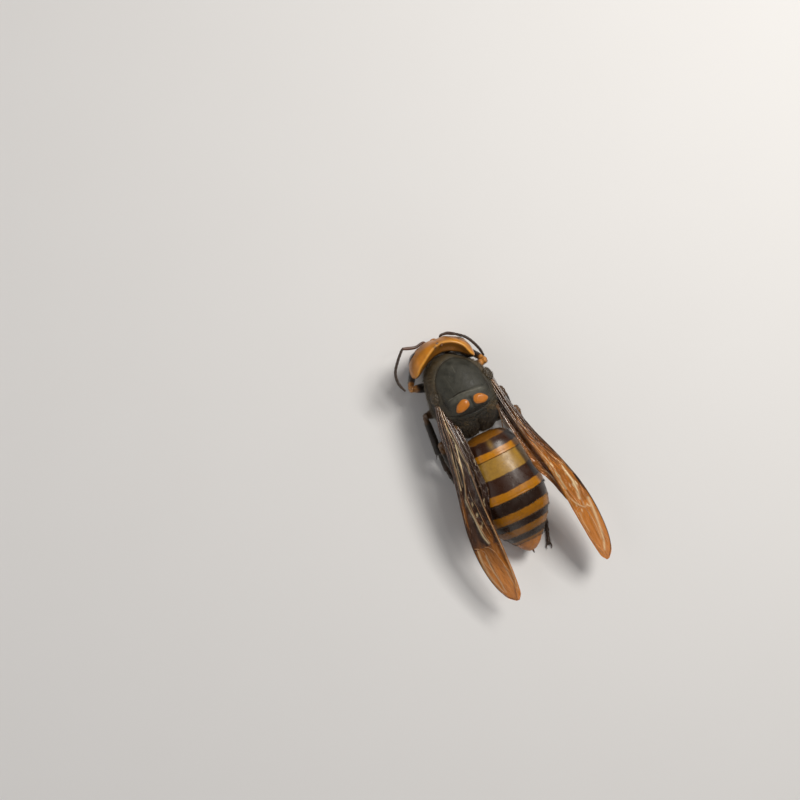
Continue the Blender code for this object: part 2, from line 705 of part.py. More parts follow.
def make_antenna(name, side):
    scape = limb(f"antenna_scape_{name}", scape_path(name, side), SCAPE_RADII)
    cut(scape, head_solid("head_cutter", GAP))
    joints = []
    radii = []
    for joint in range(FLAGELLUM_JOINTS):
        joints += [joint / FLAGELLUM_JOINTS, (joint + JOINT_LENGTH) / FLAGELLUM_JOINTS]
        taper = 1.0 - FLAGELLUM_TAPER * (joint / FLAGELLUM_JOINTS) ** 3
        radii += [FLAGELLUM_RADIUS * share * taper for share in JOINT_RADII]
    path = path_points((SCAPES[name][-1], *FLAGELLA[name]), joints)
    flagellum = limb(f"antenna_flagellum_{name}", path, radii)
    cut(flagellum, limb("scape_cutter", scape_path(name, side), SCAPE_RADII, grow=GAP))
    paint(scape, "antenna")
    paint(flagellum, "antenna")


# ---- abdomen ----


def abdomen_ring(y, swell):
    half_width, half_height, middle, shift = smooth(ABDOMEN, y)
    ring = []
    for bearing in bearings(ABDOMEN_SIDES):
        below = math.sin(bearing) < math.sin(math.radians(STERNITE_EDGE))
        size = swell - (STERNITE_INSET if below else 0.0)
        x, z = oval(bearing, half_width * size, half_height * swell, ABDOMEN_POWER)
        ring.append((shift + x, y, max(middle + z, 0.0)))
    return ring


def make_abdomen():
    """Six segments, each with a rear edge that stands a little over the next one's front."""
    for number, colour in enumerate(SEGMENT_COLOURS, 1):
        front = SEGMENT_EDGES[number - 1] + (GAP / 2 if number > 1 else 0.0)
        rear = SEGMENT_EDGES[number] - (GAP / 2 if number < len(SEGMENT_COLOURS) else 0.0)
        rows = SEGMENT_RINGS[number - 1]
        rings = []
        for row in range(rows):
            share = row / (rows - 1)
            rings.append(abdomen_ring(front + (rear - front) * share, 1 + SEGMENT_RIM * (2 * share - 1)))
        tips = [(smooth(ABDOMEN, y)[3], y, smooth(ABDOMEN, y)[2]) for y in (front, rear)]
        paint(shell(f"abdomen_{number}", rings, tips), colour)
    start = Vector((ABDOMEN[-1][4], ABDOMEN[-1][0] + GAP, ABDOMEN[-1][3]))
    end = start + Vector((0.0, STING_LENGTH, -STING_DROP))
    sting = limb("sting", (start, start.lerp(end, 0.5), end), STING_RADII, STING_SIDES, dome=0.0)
    paint(sting, "leg")


# ---- wings ----


def wing_surface(name, side, share, offset, lift):
    """A point of a wing: share runs from root to tip, offset from its axis to the outside."""
    y = WING_ROOT_Y + (WING_TIP_Y[name] - WING_ROOT_Y) * share
    x_root, x_tip = WING_AXES[name]
    roll = math.radians(WING_ROLL)
    camber = WING_CAMBER * (1 - ((offset - CAMBER_MIDDLE) / CAMBER_REACH) ** 2)
    height = smooth(WING_HEIGHTS, y)[0] - offset * math.tan(roll)
    lift += camber
    x = x_root + (x_tip - x_root) * share + offset + lift * math.sin(roll)
    return Vector((side * x, y, height + lift * math.cos(roll)))


def crest_rows(plain, crests, foot):
    """Shares with a foot on each side of every crest, and a flag for each crest."""
    rows = [(share, 0) for share in plain]
    for crest in crests:
        rows += [(crest - foot, 0), (crest, 1), (crest + foot, 0)]
    return sorted(rows)


def vane(name, label, side, outline, span, drop, rows, veins, cross_veins, stigma):
    """A closed vane whose veins are ridges in its upper face, split alike on both faces."""
    columns = crest_rows((0.0, 1.0), veins, VEIN_FOOT)
    lines = crest_rows(rows, cross_veins, CROSS_VEIN_FOOT)
    grid = {0: [], 1: []}
    for share, is_cross in lines:
        for k, (place, is_vein) in enumerate(columns):
            wiggle = ZIGZAG * (1 if k % 2 else -1) if 0 < k < len(columns) - 1 else 0.0
            near = max(0.0, 1 - min(abs(share - cross) for cross in cross_veins) / CROSS_VEIN_REACH)
            local = min(max(share + wiggle * near, 0.0), 1.0)
            whole = span[0] + (span[1] - span[0]) * local
            outer, inner = smooth(outline, local)
            outer -= ROOT_PINCH[name] * np.interp(whole, PINCH_PLACES, (0.0, 1.0, 0.0))
            offset = inner + (outer - inner) * place
            crest = is_vein or (is_cross and 0 < k < len(columns) - 1)
            ridge = VEIN_HEIGHT if crest and 0.0 < share < 1.0 else 0.0
            if stigma and k >= len(columns) - 2 and abs(share - STIGMA_PLACE) < STIGMA_HALF_LENGTH:
                ridge += STIGMA_HEIGHT
            thick = WING_THICKNESS * (1 + ROOT_THICKENING * max(0.0, 1 - local / ROOT_THICKENING_END))
            for face, lift in ((0, -thick / 2), (1, thick / 2 + ridge)):
                grid[face].append(wing_surface(name, side, whole, offset, lift - drop))
    return closed_grid(label, grid[1], grid[0], len(lines), len(columns))


def closed_grid(name, upper, lower, rows, columns):
    """Closes two like grids into one body, with the same diagonals on both."""
    points = upper + lower
    faces = []
    for row in range(rows - 1):
        for k in range(columns - 1):
            a, b = row * columns + k, row * columns + k + 1
            c, d = b + columns, a + columns
            for base in (0, len(upper)):
                faces += [(base + a, base + b, base + c), (base + a, base + c, base + d)]
    rim = [k for k in range(columns)]
    rim += [row * columns + columns - 1 for row in range(1, rows)]
    rim += [(rows - 1) * columns + k for k in range(columns - 2, -1, -1)]
    rim += [row * columns for row in range(rows - 2, 0, -1)]
    for here, there in zip(rim, rim[1:] + rim[:1]):
        faces.append((here, there, len(upper) + there, len(upper) + here))
    return new_object(name, points, faces)


def make_wings():
    for name, side in SIDES:
        fore = vane(name, f"forewing_{name}", side, FOREWING, (0.0, 1.0), 0.0, FOREWING_ROWS,
                    FOREWING_VEINS, FOREWING_CROSS_VEINS, True)
        hind = vane(name, f"hindwing_{name}", side, HINDWING, HINDWING_SPAN, HINDWING_DROP,
                    HINDWING_ROWS, HINDWING_VEINS, HINDWING_CROSS_VEINS, False)
        for wing in (fore, hind):
            cut(wing, whole_thorax(GAP), tegula("tegula_cutter", side, GAP))
            paint(wing, "wing")


# ---- legs ----


def coxa(name, points, thickness, grow=0.0):
    hip, end = Vector(points[0]), Vector(points[1])
    path = (hip, hip.lerp(end, 0.5), end)
    return limb(name, path, [radius * thickness for radius in COXA_RADII], grow=grow)


def femur(name, points, thickness, grow=0.0):
    start, knee = Vector(points[1]), Vector(points[2])
    path = []
    for share in FEMUR_SHARES:
        bow = Vector((0.0, 0.0, FEMUR_BOW * math.sin(math.pi * max(share, 0.0))))
        path.append(start.lerp(knee, share) + bow)
    return limb(name, path, [radius * thickness for radius in FEMUR_RADII], grow=grow)


def tibia(name, points, thickness, grow=0.0):
    knee, ankle = Vector(points[2]), Vector(points[3])
    path = [knee.lerp(ankle, share) for share in TIBIA_SHARES]
    return limb(name, path, [radius * thickness for radius in TIBIA_RADII], grow=grow)


def spurs(pair, points, grow=0.0):
    """The movable spines at the lower end of the tibia."""
    knee, ankle = Vector(points[2]), Vector(points[3])
    ahead = (ankle - knee).normalized()
    across = ahead.cross(Vector((0.0, 0.0, 1.0))).normalized()
    pieces = []
    for spread in SPURS[pair]:
        start = knee.lerp(ankle, SPUR_PLACE) + across * SPUR_SPREAD[0] * spread
        end = start + ahead * SPUR_LENGTH + across * SPUR_SPREAD[1] * spread
        end.z = max(end.z, SPUR_TIP_HEIGHT)
        line = (start, start.lerp(end, SPUR_MIDDLE), end)
        pieces.append(limb("spur", line, SPUR_RADII, SMALL_LIMB_SIDES, grow))
    return pieces


def tarsus(name, points, thickness):
    """Five joints that widen to their ends, with two claws on the last."""
    shares = []
    radii = []
    for start, end in zip(TARSOMERES, TARSOMERES[1:]):
        middle = (start + end) / 2
        radius = TARSUS_RADIUS + (TARSUS_END_RADIUS - TARSUS_RADIUS) * middle
        shares += [start + TARSOMERE_NECK, middle, end - TARSOMERE_NECK]
        radii += [radius * share * thickness for share in TARSOMERE_RADII]
    path = path_points(points[3:], shares)
    foot = limb(name, path, radii, TARSUS_SIDES, on_floor=True)
    up = Vector((0.0, 0.0, 1.0))
    ahead = (path[-1] - path[-3]).normalized()
    across = ahead.cross(up).normalized()
    claws = []
    for way in (-1, 1):
        line = [path[-1] + ahead * forward + across * aside * way + up * height
                for forward, aside, height in CLAW_PATH]
        claws.append(limb("claw", line, CLAW_RADII, SMALL_LIMB_SIDES))
    fuse(foot, claws)
    return foot


def make_legs():
    for name, points in LEGS.items():
        pair = name.split("_")[0]
        thickness = LEG_THICKNESS[pair]
        hip = coxa(f"coxa_{name}", points, thickness)
        cut(hip, whole_thorax(GAP))
        thigh = femur(f"femur_{name}", points, thickness)
        cut(thigh, whole_thorax(GAP), coxa("coxa_cutter", points, thickness, GAP))
        shin = tibia(f"tibia_{name}", points, thickness)
        fuse(shin, spurs(pair, points))
        cut(shin, femur("femur_cutter", points, thickness, GAP))
        foot = tarsus(f"tarsus_{name}", points, thickness)
        cut(foot, tibia("tibia_cutter", points, thickness, GAP), *spurs(pair, points, GAP))
        for piece in (hip, thigh, shin):
            paint(piece, "leg")
        paint(foot, "foot")


# ---- the whole insect ----


def paint(obj, colour):
    """Gives a node its material and smooth shading."""
    material = bpy.data.materials.get(colour) or bpy.data.materials.new(colour)
    material.use_nodes = True
    shader = material.node_tree.nodes["Principled BSDF"]
    shader.inputs["Base Color"].default_value = (*COLOURS[colour], 1.0)
    shader.inputs["Roughness"].default_value = ROUGHNESS.get(colour, PLAIN_ROUGHNESS)
    obj.data.materials.clear()
    obj.data.materials.append(material)
    obj.data.shade_smooth()
    obj.data.set_sharp_from_angle(angle=math.radians(SHARP_ANGLE))


def centre_on_floor():
    """Moves every mesh so that the origin is under the middle of the insect's outline."""
    meshes = [obj.data for obj in bpy.data.objects]
    places = np.array([vert.co for mesh in meshes for vert in mesh.vertices])
    middle = (places.min(axis=0) + places.max(axis=0)) / 2
    for mesh in meshes:
        mesh.transform(Matrix.Translation((-middle[0], -middle[1], 0.0)))


def main():
    for obj in list(bpy.data.objects):
        bpy.data.objects.remove(obj, do_unlink=True)
    make_thorax()
    make_head()
    make_abdomen()
    make_wings()
    make_legs()
    centre_on_floor()


main()
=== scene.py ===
"""Looks of a life-size Asian giant hornet: its fine shell, eyes, wings, legs, hair and a stage.

Pieces are modelled in millimetres round the middle of the scutellum, with the head at -Y and
the left side at +X, and finish_piece then puts them at their real size and place.
"""

import math

import bpy
import numpy as np
from mathutils import Matrix, Vector


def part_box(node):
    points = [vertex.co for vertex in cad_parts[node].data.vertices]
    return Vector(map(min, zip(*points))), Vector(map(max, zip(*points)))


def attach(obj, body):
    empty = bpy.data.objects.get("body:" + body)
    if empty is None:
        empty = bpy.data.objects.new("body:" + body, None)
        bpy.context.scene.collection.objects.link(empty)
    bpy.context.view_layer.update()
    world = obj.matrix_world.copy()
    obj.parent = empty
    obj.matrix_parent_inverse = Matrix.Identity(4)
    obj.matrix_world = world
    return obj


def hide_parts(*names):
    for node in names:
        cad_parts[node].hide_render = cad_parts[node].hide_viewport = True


bl_info = {
    "name": "Asian Giant Hornet",
    "version": (1, 0, 0),
    "blender": (4, 5, 0),
    "location": "3D View > Sidebar > Hornet",
    "description": "Builds the shell, wings, legs, hair and stage of a life-size giant hornet",
    "category": "Add Mesh",
}

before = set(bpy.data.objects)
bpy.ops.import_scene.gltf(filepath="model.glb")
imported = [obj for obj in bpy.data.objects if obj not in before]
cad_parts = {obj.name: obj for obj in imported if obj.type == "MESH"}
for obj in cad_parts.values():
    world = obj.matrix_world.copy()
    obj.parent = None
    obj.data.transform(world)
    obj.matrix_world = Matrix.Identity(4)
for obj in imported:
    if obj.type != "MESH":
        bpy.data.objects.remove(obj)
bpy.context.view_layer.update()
BODY = "root"
MM = 0.001
SIDES = (("left", 1), ("right", -1))

# The scutellum runs from 2.3 mm in front of its own middle to 1.9 mm behind it.
SCUTELLUM_LOW, SCUTELLUM_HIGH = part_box("scutellum")
ORIGIN = Vector(((SCUTELLUM_LOW.x + SCUTELLUM_HIGH.x) / 2, SCUTELLUM_LOW.y + 2.3 * MM, 0.0))

# Thorax: y, half width, top, bottom, and how far its middle lies to the left.
THORAX = (
    (-10.15, 1.8, 10.2, 7.0, 0.9), (-9.4, 2.9, 11.2, 5.6, 1.05), (-8.3, 4.0, 11.9, 4.5, 0.9),
    (-7.2, 4.75, 12.4, 3.8, 0.6), (-5.0, 5.8, 13.1, 2.6, 0.25), (-2.5, 6.4, 13.5, 2.1, 0.05),
    (0.5, 6.3, 13.4, 2.1, 0.0), (2.6, 5.75, 12.8, 2.5, 0.0), (4.3, 4.7, 10.9, 3.3, 0.0),
    (5.3, 3.5, 9.1, 4.4, 0.0), (5.9, 2.3, 7.9, 5.2, 0.0),
)
THORAX_POWER = 2.2
THORAX_REACH = 9.0  # past its sides and its rear
ABOVE_THORAX = 16.0
MESOTHORAX_REAR = 1.9
PRONOTUM_REAR = -4.0
PRONOTUM_LOWER_EDGE = 5.5
PRONOTUM_DEPTH = 1.3
SCUTUM_CENTRE = (0.15, -3.2)
SCUTUM_HALF_SIZES = (4.7, 5.8)
SCUTELLUM_CENTRE = (0.0, -0.2)
SCUTELLUM_HALF_SIZES = (4.2, 2.1)
SCUTELLUM_POWER = 3.5
SCUTELLUM_FLOOR = 11.2
SCUTELLUM_RAISE = 0.2
SPOTS = ((1.9, 0.1, 22.0), (-1.85, 0.18, -17.0))  # x, y and tilt of the scutellum's spots
SPOT_HALF_SIZES = (1.45, 0.92)
# The suture in front of the scutellum, and the line just behind it, painted pale as a highlight on its
# edge.
SCUTELLUM_SUTURE = ((2.7, -2.2), (1.8, -2.38), (1.0, -2.42), (0.2, -2.34))
SCUTELLUM_LINE = ((3.6, -1.95), (2.2, -2.15), (0.4, -2.1), (-1.4, -1.75), (-2.8, -1.6))
SCUTELLUM_REAR = ((-4.6, 0.9), (-2.7, 1.75), (0.0, 2.1), (2.7, 1.75), (4.6, 0.9))
STREAK_X = 0.25
GLINTS = ((-0.45, -7.36), (1.66, -5.88), (4.6, -4.08), (4.0, -1.79))
# Furrows on both sides of the back, as x and y, and of the flanks, as y and z: path, width, depth.
BACK_FURROWS = (
    (((2.3, -6.2), (2.1, -4.2), (2.0, -2.9)), 0.1, 0.035),
    (((4.4, -3.6), (4.6, -2.2), (4.35, -0.4)), 0.16, 0.12),
)
FLANK_FURROWS = (
    (((-3.6, 4.0), (-3.2, 6.5), (-3.6, 9.0)), 0.16, 0.16),
    (((-3.4, 8.3), (-1.0, 7.9), (1.6, 8.2)), 0.14, 0.14),
    (((0.9, 3.4), (1.1, 6.0), (0.7, 8.0)), 0.14, 0.12),
)
FROM_ABOVE, FROM_THE_SIDE = (0, 1), (1, 2)
SHOULDER = (5.1, -7.3)
TEGULA_CENTRE = (5.55, -3.3, 10.9)
TEGULA_HALF_SIZES = (1.0, 1.3, 0.6)
TEGULA_TILT = 38.0

# Head: z, half width, front, back, before it is turned and moved to its place.
HEAD = (
    (2.5, 2.2, -12.3, -9.6), (3.4, 3.8, -13.0, -8.8), (5.0, 5.3, -13.6, -8.1),
    (7.0, 6.1, -13.75, -7.7), (8.8, 6.35, -13.7, -7.6), (10.2, 6.25, -13.5, -7.6),
    (11.3, 5.7, -13.1, -7.9), (12.0, 4.6, -12.7, -8.8), (12.4, 2.8, -12.3, -10.4),
)
HEAD_POWER = 2.4
HEAD_WIDEST = 0.85
CROWN = (8.0, 9.5)  # the heights between which the colours and forms of the crown set in
HEAD_PIVOT_Y = -8.0
HEAD_TURN = -5.0
HEAD_SHIFT = 1.15
# The hollow behind the head: its front edge as x and y, up to the height where the slope starts.
OCCIPUT_EDGE = (
    (-6.6, -7.6), (-5.0, -8.5), (-3.7, -9.55), (-1.9, -10.45), (-0.6, -10.72), (1.3, -10.4),
    (2.56, -9.8), (3.5, -9.2), (4.6, -8.4), (6.6, -7.3),
)
OCCIPUT_HEIGHTS = (0.0, 10.7, 12.35, 13.2)
OCCIPUT_REAR = -5.0
OCCIPUT_LEAN = 0.6  # how far forwards the slope runs on above the ridge
EYE_MIDDLE_Z = 7.4
EYE_HALF_HEIGHT = 3.0
EYE_HALF_WIDTH = 1.6
EYE_DOME = 0.24
EYE_DEPTH = 0.5
EYE_BEARING = 36.0
EYE_BEND = 9.0
EYE_NOTCH = 0.34  # depth of the notch beside the antenna, as a share of the eye's width
EYE_NOTCH_BEARING = 0.3
EYE_NOTCH_REACH = 0.42
CLYPEUS = ((0.0, -13.05, 4.75), (2.75, 0.95, 1.95), 11.0)
CLYPEUS_LOBE = ((0.95, -12.85, 2.95), (0.8, 0.55, 0.55))
FRONTAL_SHIELD = ((0.0, -13.5, 8.3), (0.75, 0.5, 0.95))
SOCKET_RADII = (0.5, 0.16)
SOCKET_PIT = (0.36, 0.3, 0.36)
OCELLUS_RADIUS = 0.22
OCELLI = ((0.0, -12.5, 12.0), (0.68, -11.95, 12.22), (-0.68, -11.95, 12.22))
# The ridge between the face and the slope behind it: x and y before the head is turned.
HEAD_RIDGE = (
    (-6.1, -7.9), (-5.4, -8.8), (-4.6, -10.5), (-3.5, -11.5), (-2.3, -12.05), (-0.9, -12.3),
    (0.5, -12.0), (2.2, -11.05), (3.5, -10.1), (4.6, -9.3), (5.6, -8.0),
)
MANDIBLE_PATH = ((3.0, -11.5, 3.7), (2.65, -12.2, 2.7), (1.85, -12.75, 1.9), (1.05, -12.95, 1.55))
MANDIBLE_RADII = (0.75, 0.85, 0.75, 0.6)
TEETH = ((1.0, -12.9, 1.98), (1.0, -12.97, 1.62), (1.0, -12.95, 1.28), (1.1, -12.85, 0.95))
TOOTH_REACH = 0.75
TOOTH_RADII = (0.3, 0.3, 0.29, 0.27, 0.24, 0.19, 0.12, 0.05)
PALPS = ((2.4, 1.0), (1.7, 0.4))  # reach of each and how far it stands out
PALP_JOINTS = 5

# Antennae, from their sockets on the face.
SCAPE_ROOT = (1.35, -13.2, 7.9)
SCAPES = {
    "left": ((4.4, -13.85, 8.8), (6.75, -14.6, 9.2)),
    "right": ((-1.8, -13.7, 9.8), (-3.1, -12.75, 11.8)),
}
FLAGELLA = {
    "left": ((8.45, -12.95, 9.0), (9.85, -11.05, 8.5), (10.15, -9.1, 8.0), (9.55, -7.25, 7.5)),
    "right": ((-4.65, -11.3, 12.0), (-5.7, -9.55, 11.4), (-6.3, -8.1, 10.6), (-6.65, -6.85, 9.6)),
}
SCAPE_START = 0.1  # how far in front of its socket's middle it starts
SCAPE_BEND = (0.1, 0.48)  # how far outwards and forwards it bends
SCAPE_PROFILE = (
    (0.0, 0.3), (0.05, 0.32), (0.1, 0.16), (0.14, 0.2), (0.4, 0.27), (0.8, 0.32), (1.0, 0.27),
)
FLAGELLUM_RADIUS = 0.27
FLAGELLUM_JOINTS = 11

# Abdomen: y, half width, half height, middle, and how far its middle lies to the left.
ABDOMEN = (
    (6.3, 1.8, 1.5, 6.5, 0.0), (6.65, 3.4, 2.9, 6.45, 0.0), (7.3, 4.6, 4.0, 6.3, 0.0),
    (8.3, 5.3, 4.7, 6.15, 0.0), (9.8, 5.85, 5.2, 6.0, 0.0), (12.0, 6.35, 5.6, 5.8, 0.0),
    (15.0, 6.8, 5.85, 5.7, 0.0), (18.0, 7.0, 5.9, 5.7, 0.0), (19.9, 7.0, 5.85, 5.65, 0.0),
    (21.8, 6.75, 5.6, 5.5, 0.1), (23.4, 6.35, 5.25, 5.3, 0.15), (24.8, 5.7, 4.7, 5.05, 0.2),
    (26.3, 4.75, 3.95, 4.75, 0.25), (27.6, 3.75, 3.1, 4.4, 0.25), (29.0, 2.6, 2.1, 3.95, 0.25),
    (30.2, 1.55, 1.2, 3.6, 0.3), (30.8, 0.75, 0.6, 3.45, 0.35),
)
ABDOMEN_POWER = 2.1
SEGMENT_EDGES = (6.3, 11.2, 19.6, 23.9, 26.7, 28.5, 30.8)
SEGMENT_RIM = 0.018
# How the hidden front of a plate and its rolled rear edge run: along, and the share of its size.
SEGMENT_FRONT = ((-0.4, 0.9), (-0.2, 0.945), (-0.05, 0.97))
SEGMENT_ROLL = ((0.04, 1.014), (0.05, 1.006), (0.02, 0.998), (-0.25, 0.96), (-0.5, 0.93))
STERNITE_INSET = 0.035
STERNITE_EDGE = -25.0
# Where each colour of the bands starts along the abdomen.
BANDS = (
    (6.0, "band_front"), (7.8, "band_dark"), (9.9, "band_yellow"), (11.25, "band_mustard"),
    (14.9, "band_dark"), (18.0, "band_yellow"), (19.65, "band_black"), (22.1, "band_yellow"),
    (23.95, "band_black"), (25.3, "band_yellow"), (26.72, "band_black"), (27.9, "band_yellow"),
    (28.5, "tip"),
)
BAND_BLUR = 0.14
BRISTLE_ROWS = (19.5, 21.9, 23.8, 25.1, 26.6, 27.7, 28.5)  # where black bristles stand in rows
ABDOMEN_END = 32.0
STING_REACH = (0.0, 0.9, -0.18)
STING_RADII = (0.24, 0.03)

# Wings: y at the root and tips, x there on each side, and the height of the axis.
WING_ROOT_Y = -2.4
WING_TIP_Y = {"left": 37.6, "right": 38.4}
WING_AXES = {"left": (5.3, 6.9), "right": (5.4, 10.6)}
WING_HEIGHTS = (
    (-2.4, 10.5), (4.0, 11.15), (10.0, 11.4), (17.0, 11.25), (24.0, 10.2), (30.0, 8.8), (38.4, 6.8),
)
WING_ROLL = 25.0
WING_CAMBER = 0.35
CAMBER_MIDDLE = 1.5
CAMBER_REACH = 3.5
# Share of the wing's length, outer edge and inner edge, as offsets from the axis.
FOREWING = (
    (0.0, 0.7, -0.7), (0.1, 1.4, -0.9), (0.22, 2.0, -0.9), (0.33, 2.7, -0.7), (0.42, 3.45, -0.35),
    (0.52, 4.15, -0.2), (0.62, 4.7, -0.3), (0.72, 4.8, -0.45), (0.8, 4.5, -0.5), (0.88, 3.8, -0.5),
    (0.94, 2.9, -0.35), (0.98, 1.9, -0.1), (1.0, 0.9, 0.4),
)
HINDWING = (
    (0.0, 0.5, -0.6), (0.16, 0.9, -1.25), (0.4, 1.4, -1.55), (0.55, 1.9, -1.6), (0.68, 2.3, -1.5),
    (0.76, 2.4, -0.8), (0.86, 2.3, -0.2), (0.95, 1.8, 0.2), (1.0, 1.2, 0.6),
)
# How much narrower the outer edge is, by the share of the length.
WING_PINCH = {
    "left": ((0.0, 0.0), (0.12, -0.35), (0.42, 0.0)),
    "right": ((0.0, 0.0), (0.12, 0.95), (0.32, 1.05), (0.45, 0.8), (0.6, 0.55), (0.82, 0.25),
              (0.95, 0.0)),
}
WING_GRIDS = {"forewing": (340, 130), "hindwing": (170, 64)}
CREST_WIDTH = 4.6  # width of a wing where the widths of its crests are measured
HINDWING_SPAN = (0.035, 0.68)
HINDWING_DROP = 1.08
# Veins: share of the length and place across from the root on, radii of both ends, how pale the
# vein is, and the height of the lengthwise fold whose crest it is.
COMMON_VEINS = (
    (((0.0, 0.85), (0.1, 0.95), (0.3, 0.985), (0.6, 0.99), (0.8, 0.985), (0.93, 0.98), (0.99, 0.8)),
     0.17, 0.045, 0.0, 0.0),
    (((0.0, 0.7), (0.1, 0.74), (0.22, 0.8), (0.35, 0.84), (0.5, 0.9), (0.6, 0.95)),
     0.12, 0.07, 0.25, 0.16),
)
FOREWING_VEINS = {
    "left": COMMON_VEINS + (
        (((0.0, 0.55), (0.1, 0.57), (0.18, 0.6), (0.27, 0.76), (0.37, 0.78), (0.43, 0.8)),
         0.1, 0.05, 0.5, 0.24),
        (((0.0, 0.42), (0.12, 0.46), (0.23, 0.51), (0.33, 0.47), (0.4, 0.5), (0.45, 0.58), (0.51, 0.53),
          (0.59, 0.46), (0.66, 0.38), (0.69, 0.34)), 0.11, 0.05, 0.8, 0.4),
        (((0.0, 0.28), (0.1, 0.28), (0.2, 0.2), (0.3, 0.12), (0.4, 0.05), (0.6, 0.03), (0.77, 0.03),
          (0.9, 0.04), (0.985, 0.3)), 0.12, 0.03, 0.75, 0.3),
        (((0.43, 0.42), (0.47, 0.38), (0.51, 0.31), (0.57, 0.27), (0.66, 0.22)),
         0.035, 0.03, 0.9, 0.2),
        (((0.69, 0.95), (0.7, 0.79), (0.72, 0.66)), 0.05, 0.04, 0.8, 0.0),
        (((0.7, 0.58), (0.72, 0.4), (0.75, 0.3), (0.78, 0.26), (0.83, 0.19), (0.87, 0.12)),
         0.05, 0.025, 0.9, 0.14),
        (((0.7, 0.86), (0.72, 0.89), (0.79, 0.9), (0.875, 0.89), (0.94, 0.82)), 0.035, 0.02, 0.7, 0.1),
        (((0.72, 0.66), (0.8, 0.6), (0.87, 0.62), (0.945, 0.71)), 0.035, 0.015, 0.6, 0.1),
        (((0.78, 0.26), (0.84, 0.16), (0.92, 0.07), (0.96, 0.1)), 0.03, 0.015, 0.6, 0.08),
    ),
    "right": COMMON_VEINS + (
        (((0.0, 0.5), (0.1, 0.55), (0.18, 0.49), (0.26, 0.3), (0.325, 0.34), (0.4, 0.47), (0.465, 0.56),
          (0.5, 0.66)), 0.12, 0.05, 0.75, 0.38),
        (((0.0, 0.3), (0.12, 0.22), (0.22, 0.14), (0.3, 0.14), (0.36, 0.28), (0.42, 0.37),
          (0.47, 0.45)), 0.11, 0.045, 0.6, 0.3),
        (((0.0, 0.12), (0.15, 0.05), (0.3, 0.04), (0.5, 0.04), (0.7, 0.04), (0.9, 0.05), (0.985, 0.3)),
         0.1, 0.03, 0.6, 0.2),
        (((0.41, 0.13), (0.44, 0.15), (0.5, 0.19), (0.55, 0.19), (0.61, 0.19), (0.68, 0.27),
          (0.717, 0.34)), 0.045, 0.04, 0.9, 0.24),
        (((0.47, 0.5), (0.51, 0.56), (0.55, 0.59), (0.61, 0.56), (0.665, 0.52), (0.72, 0.45)),
         0.04, 0.035, 0.9, 0.24),
        (((0.73, 0.02), (0.72, 0.17), (0.717, 0.34), (0.725, 0.5), (0.74, 0.67), (0.72, 0.85),
          (0.715, 0.97)), 0.03, 0.025, 0.5, 0.0),
        (((0.735, 0.5), (0.8, 0.48), (0.86, 0.45), (0.92, 0.57)), 0.035, 0.015, 0.7, 0.1),
        (((0.72, 0.85), (0.78, 0.67), (0.85, 0.67), (0.93, 0.78)), 0.035, 0.015, 0.7, 0.12),
    ),
}
HINDWING_VEINS = (
    (((0.0, 0.8), (0.3, 0.96), (0.6, 0.97), (0.9, 0.96), (0.99, 0.6)), 0.11, 0.035, 0.1, 0.0),
    (((0.0, 0.5), (0.3, 0.6), (0.6, 0.68), (0.85, 0.72)), 0.08, 0.035, 0.4, 0.16),
    (((0.0, 0.3), (0.3, 0.25), (0.6, 0.3), (0.8, 0.35)), 0.07, 0.03, 0.7, 0.16),
    (((0.0, 0.1), (0.2, 0.04), (0.45, 0.03), (0.7, 0.04)), 0.08, 0.035, 0.8, 0.0),
    (((0.6, 0.3), (0.63, 0.5), (0.6, 0.68)), 0.035, 0.035, 0.3, 0.0),
    (((0.6, 0.68), (0.66, 0.85), (0.7, 0.97)), 0.035, 0.035, 0.3, 0.0),
)
# Pale cords of the hindwing's root beside the propodeum.
ROOT_CORDS = (
    ((4.2, 2.4, 10.9), (4.35, 3.4, 10.7), (4.15, 5.6, 10.4), (4.6, 7.6, 10.3)),
    ((4.6, 2.6, 10.9), (4.6, 3.9, 10.7), (4.45, 5.8, 10.5), (5.0, 8.2, 10.3)),
    ((4.3, 5.2, 10.4), (3.9, 6.4, 10.0), (3.7, 7.4, 9.7)),
)
FOLD_WIDTH = 0.055  # half width of a fold, as a share of the wing's width
FOLD_UNDER = 0.22  # how far the forewing's inner edge is folded under, as a share of its width
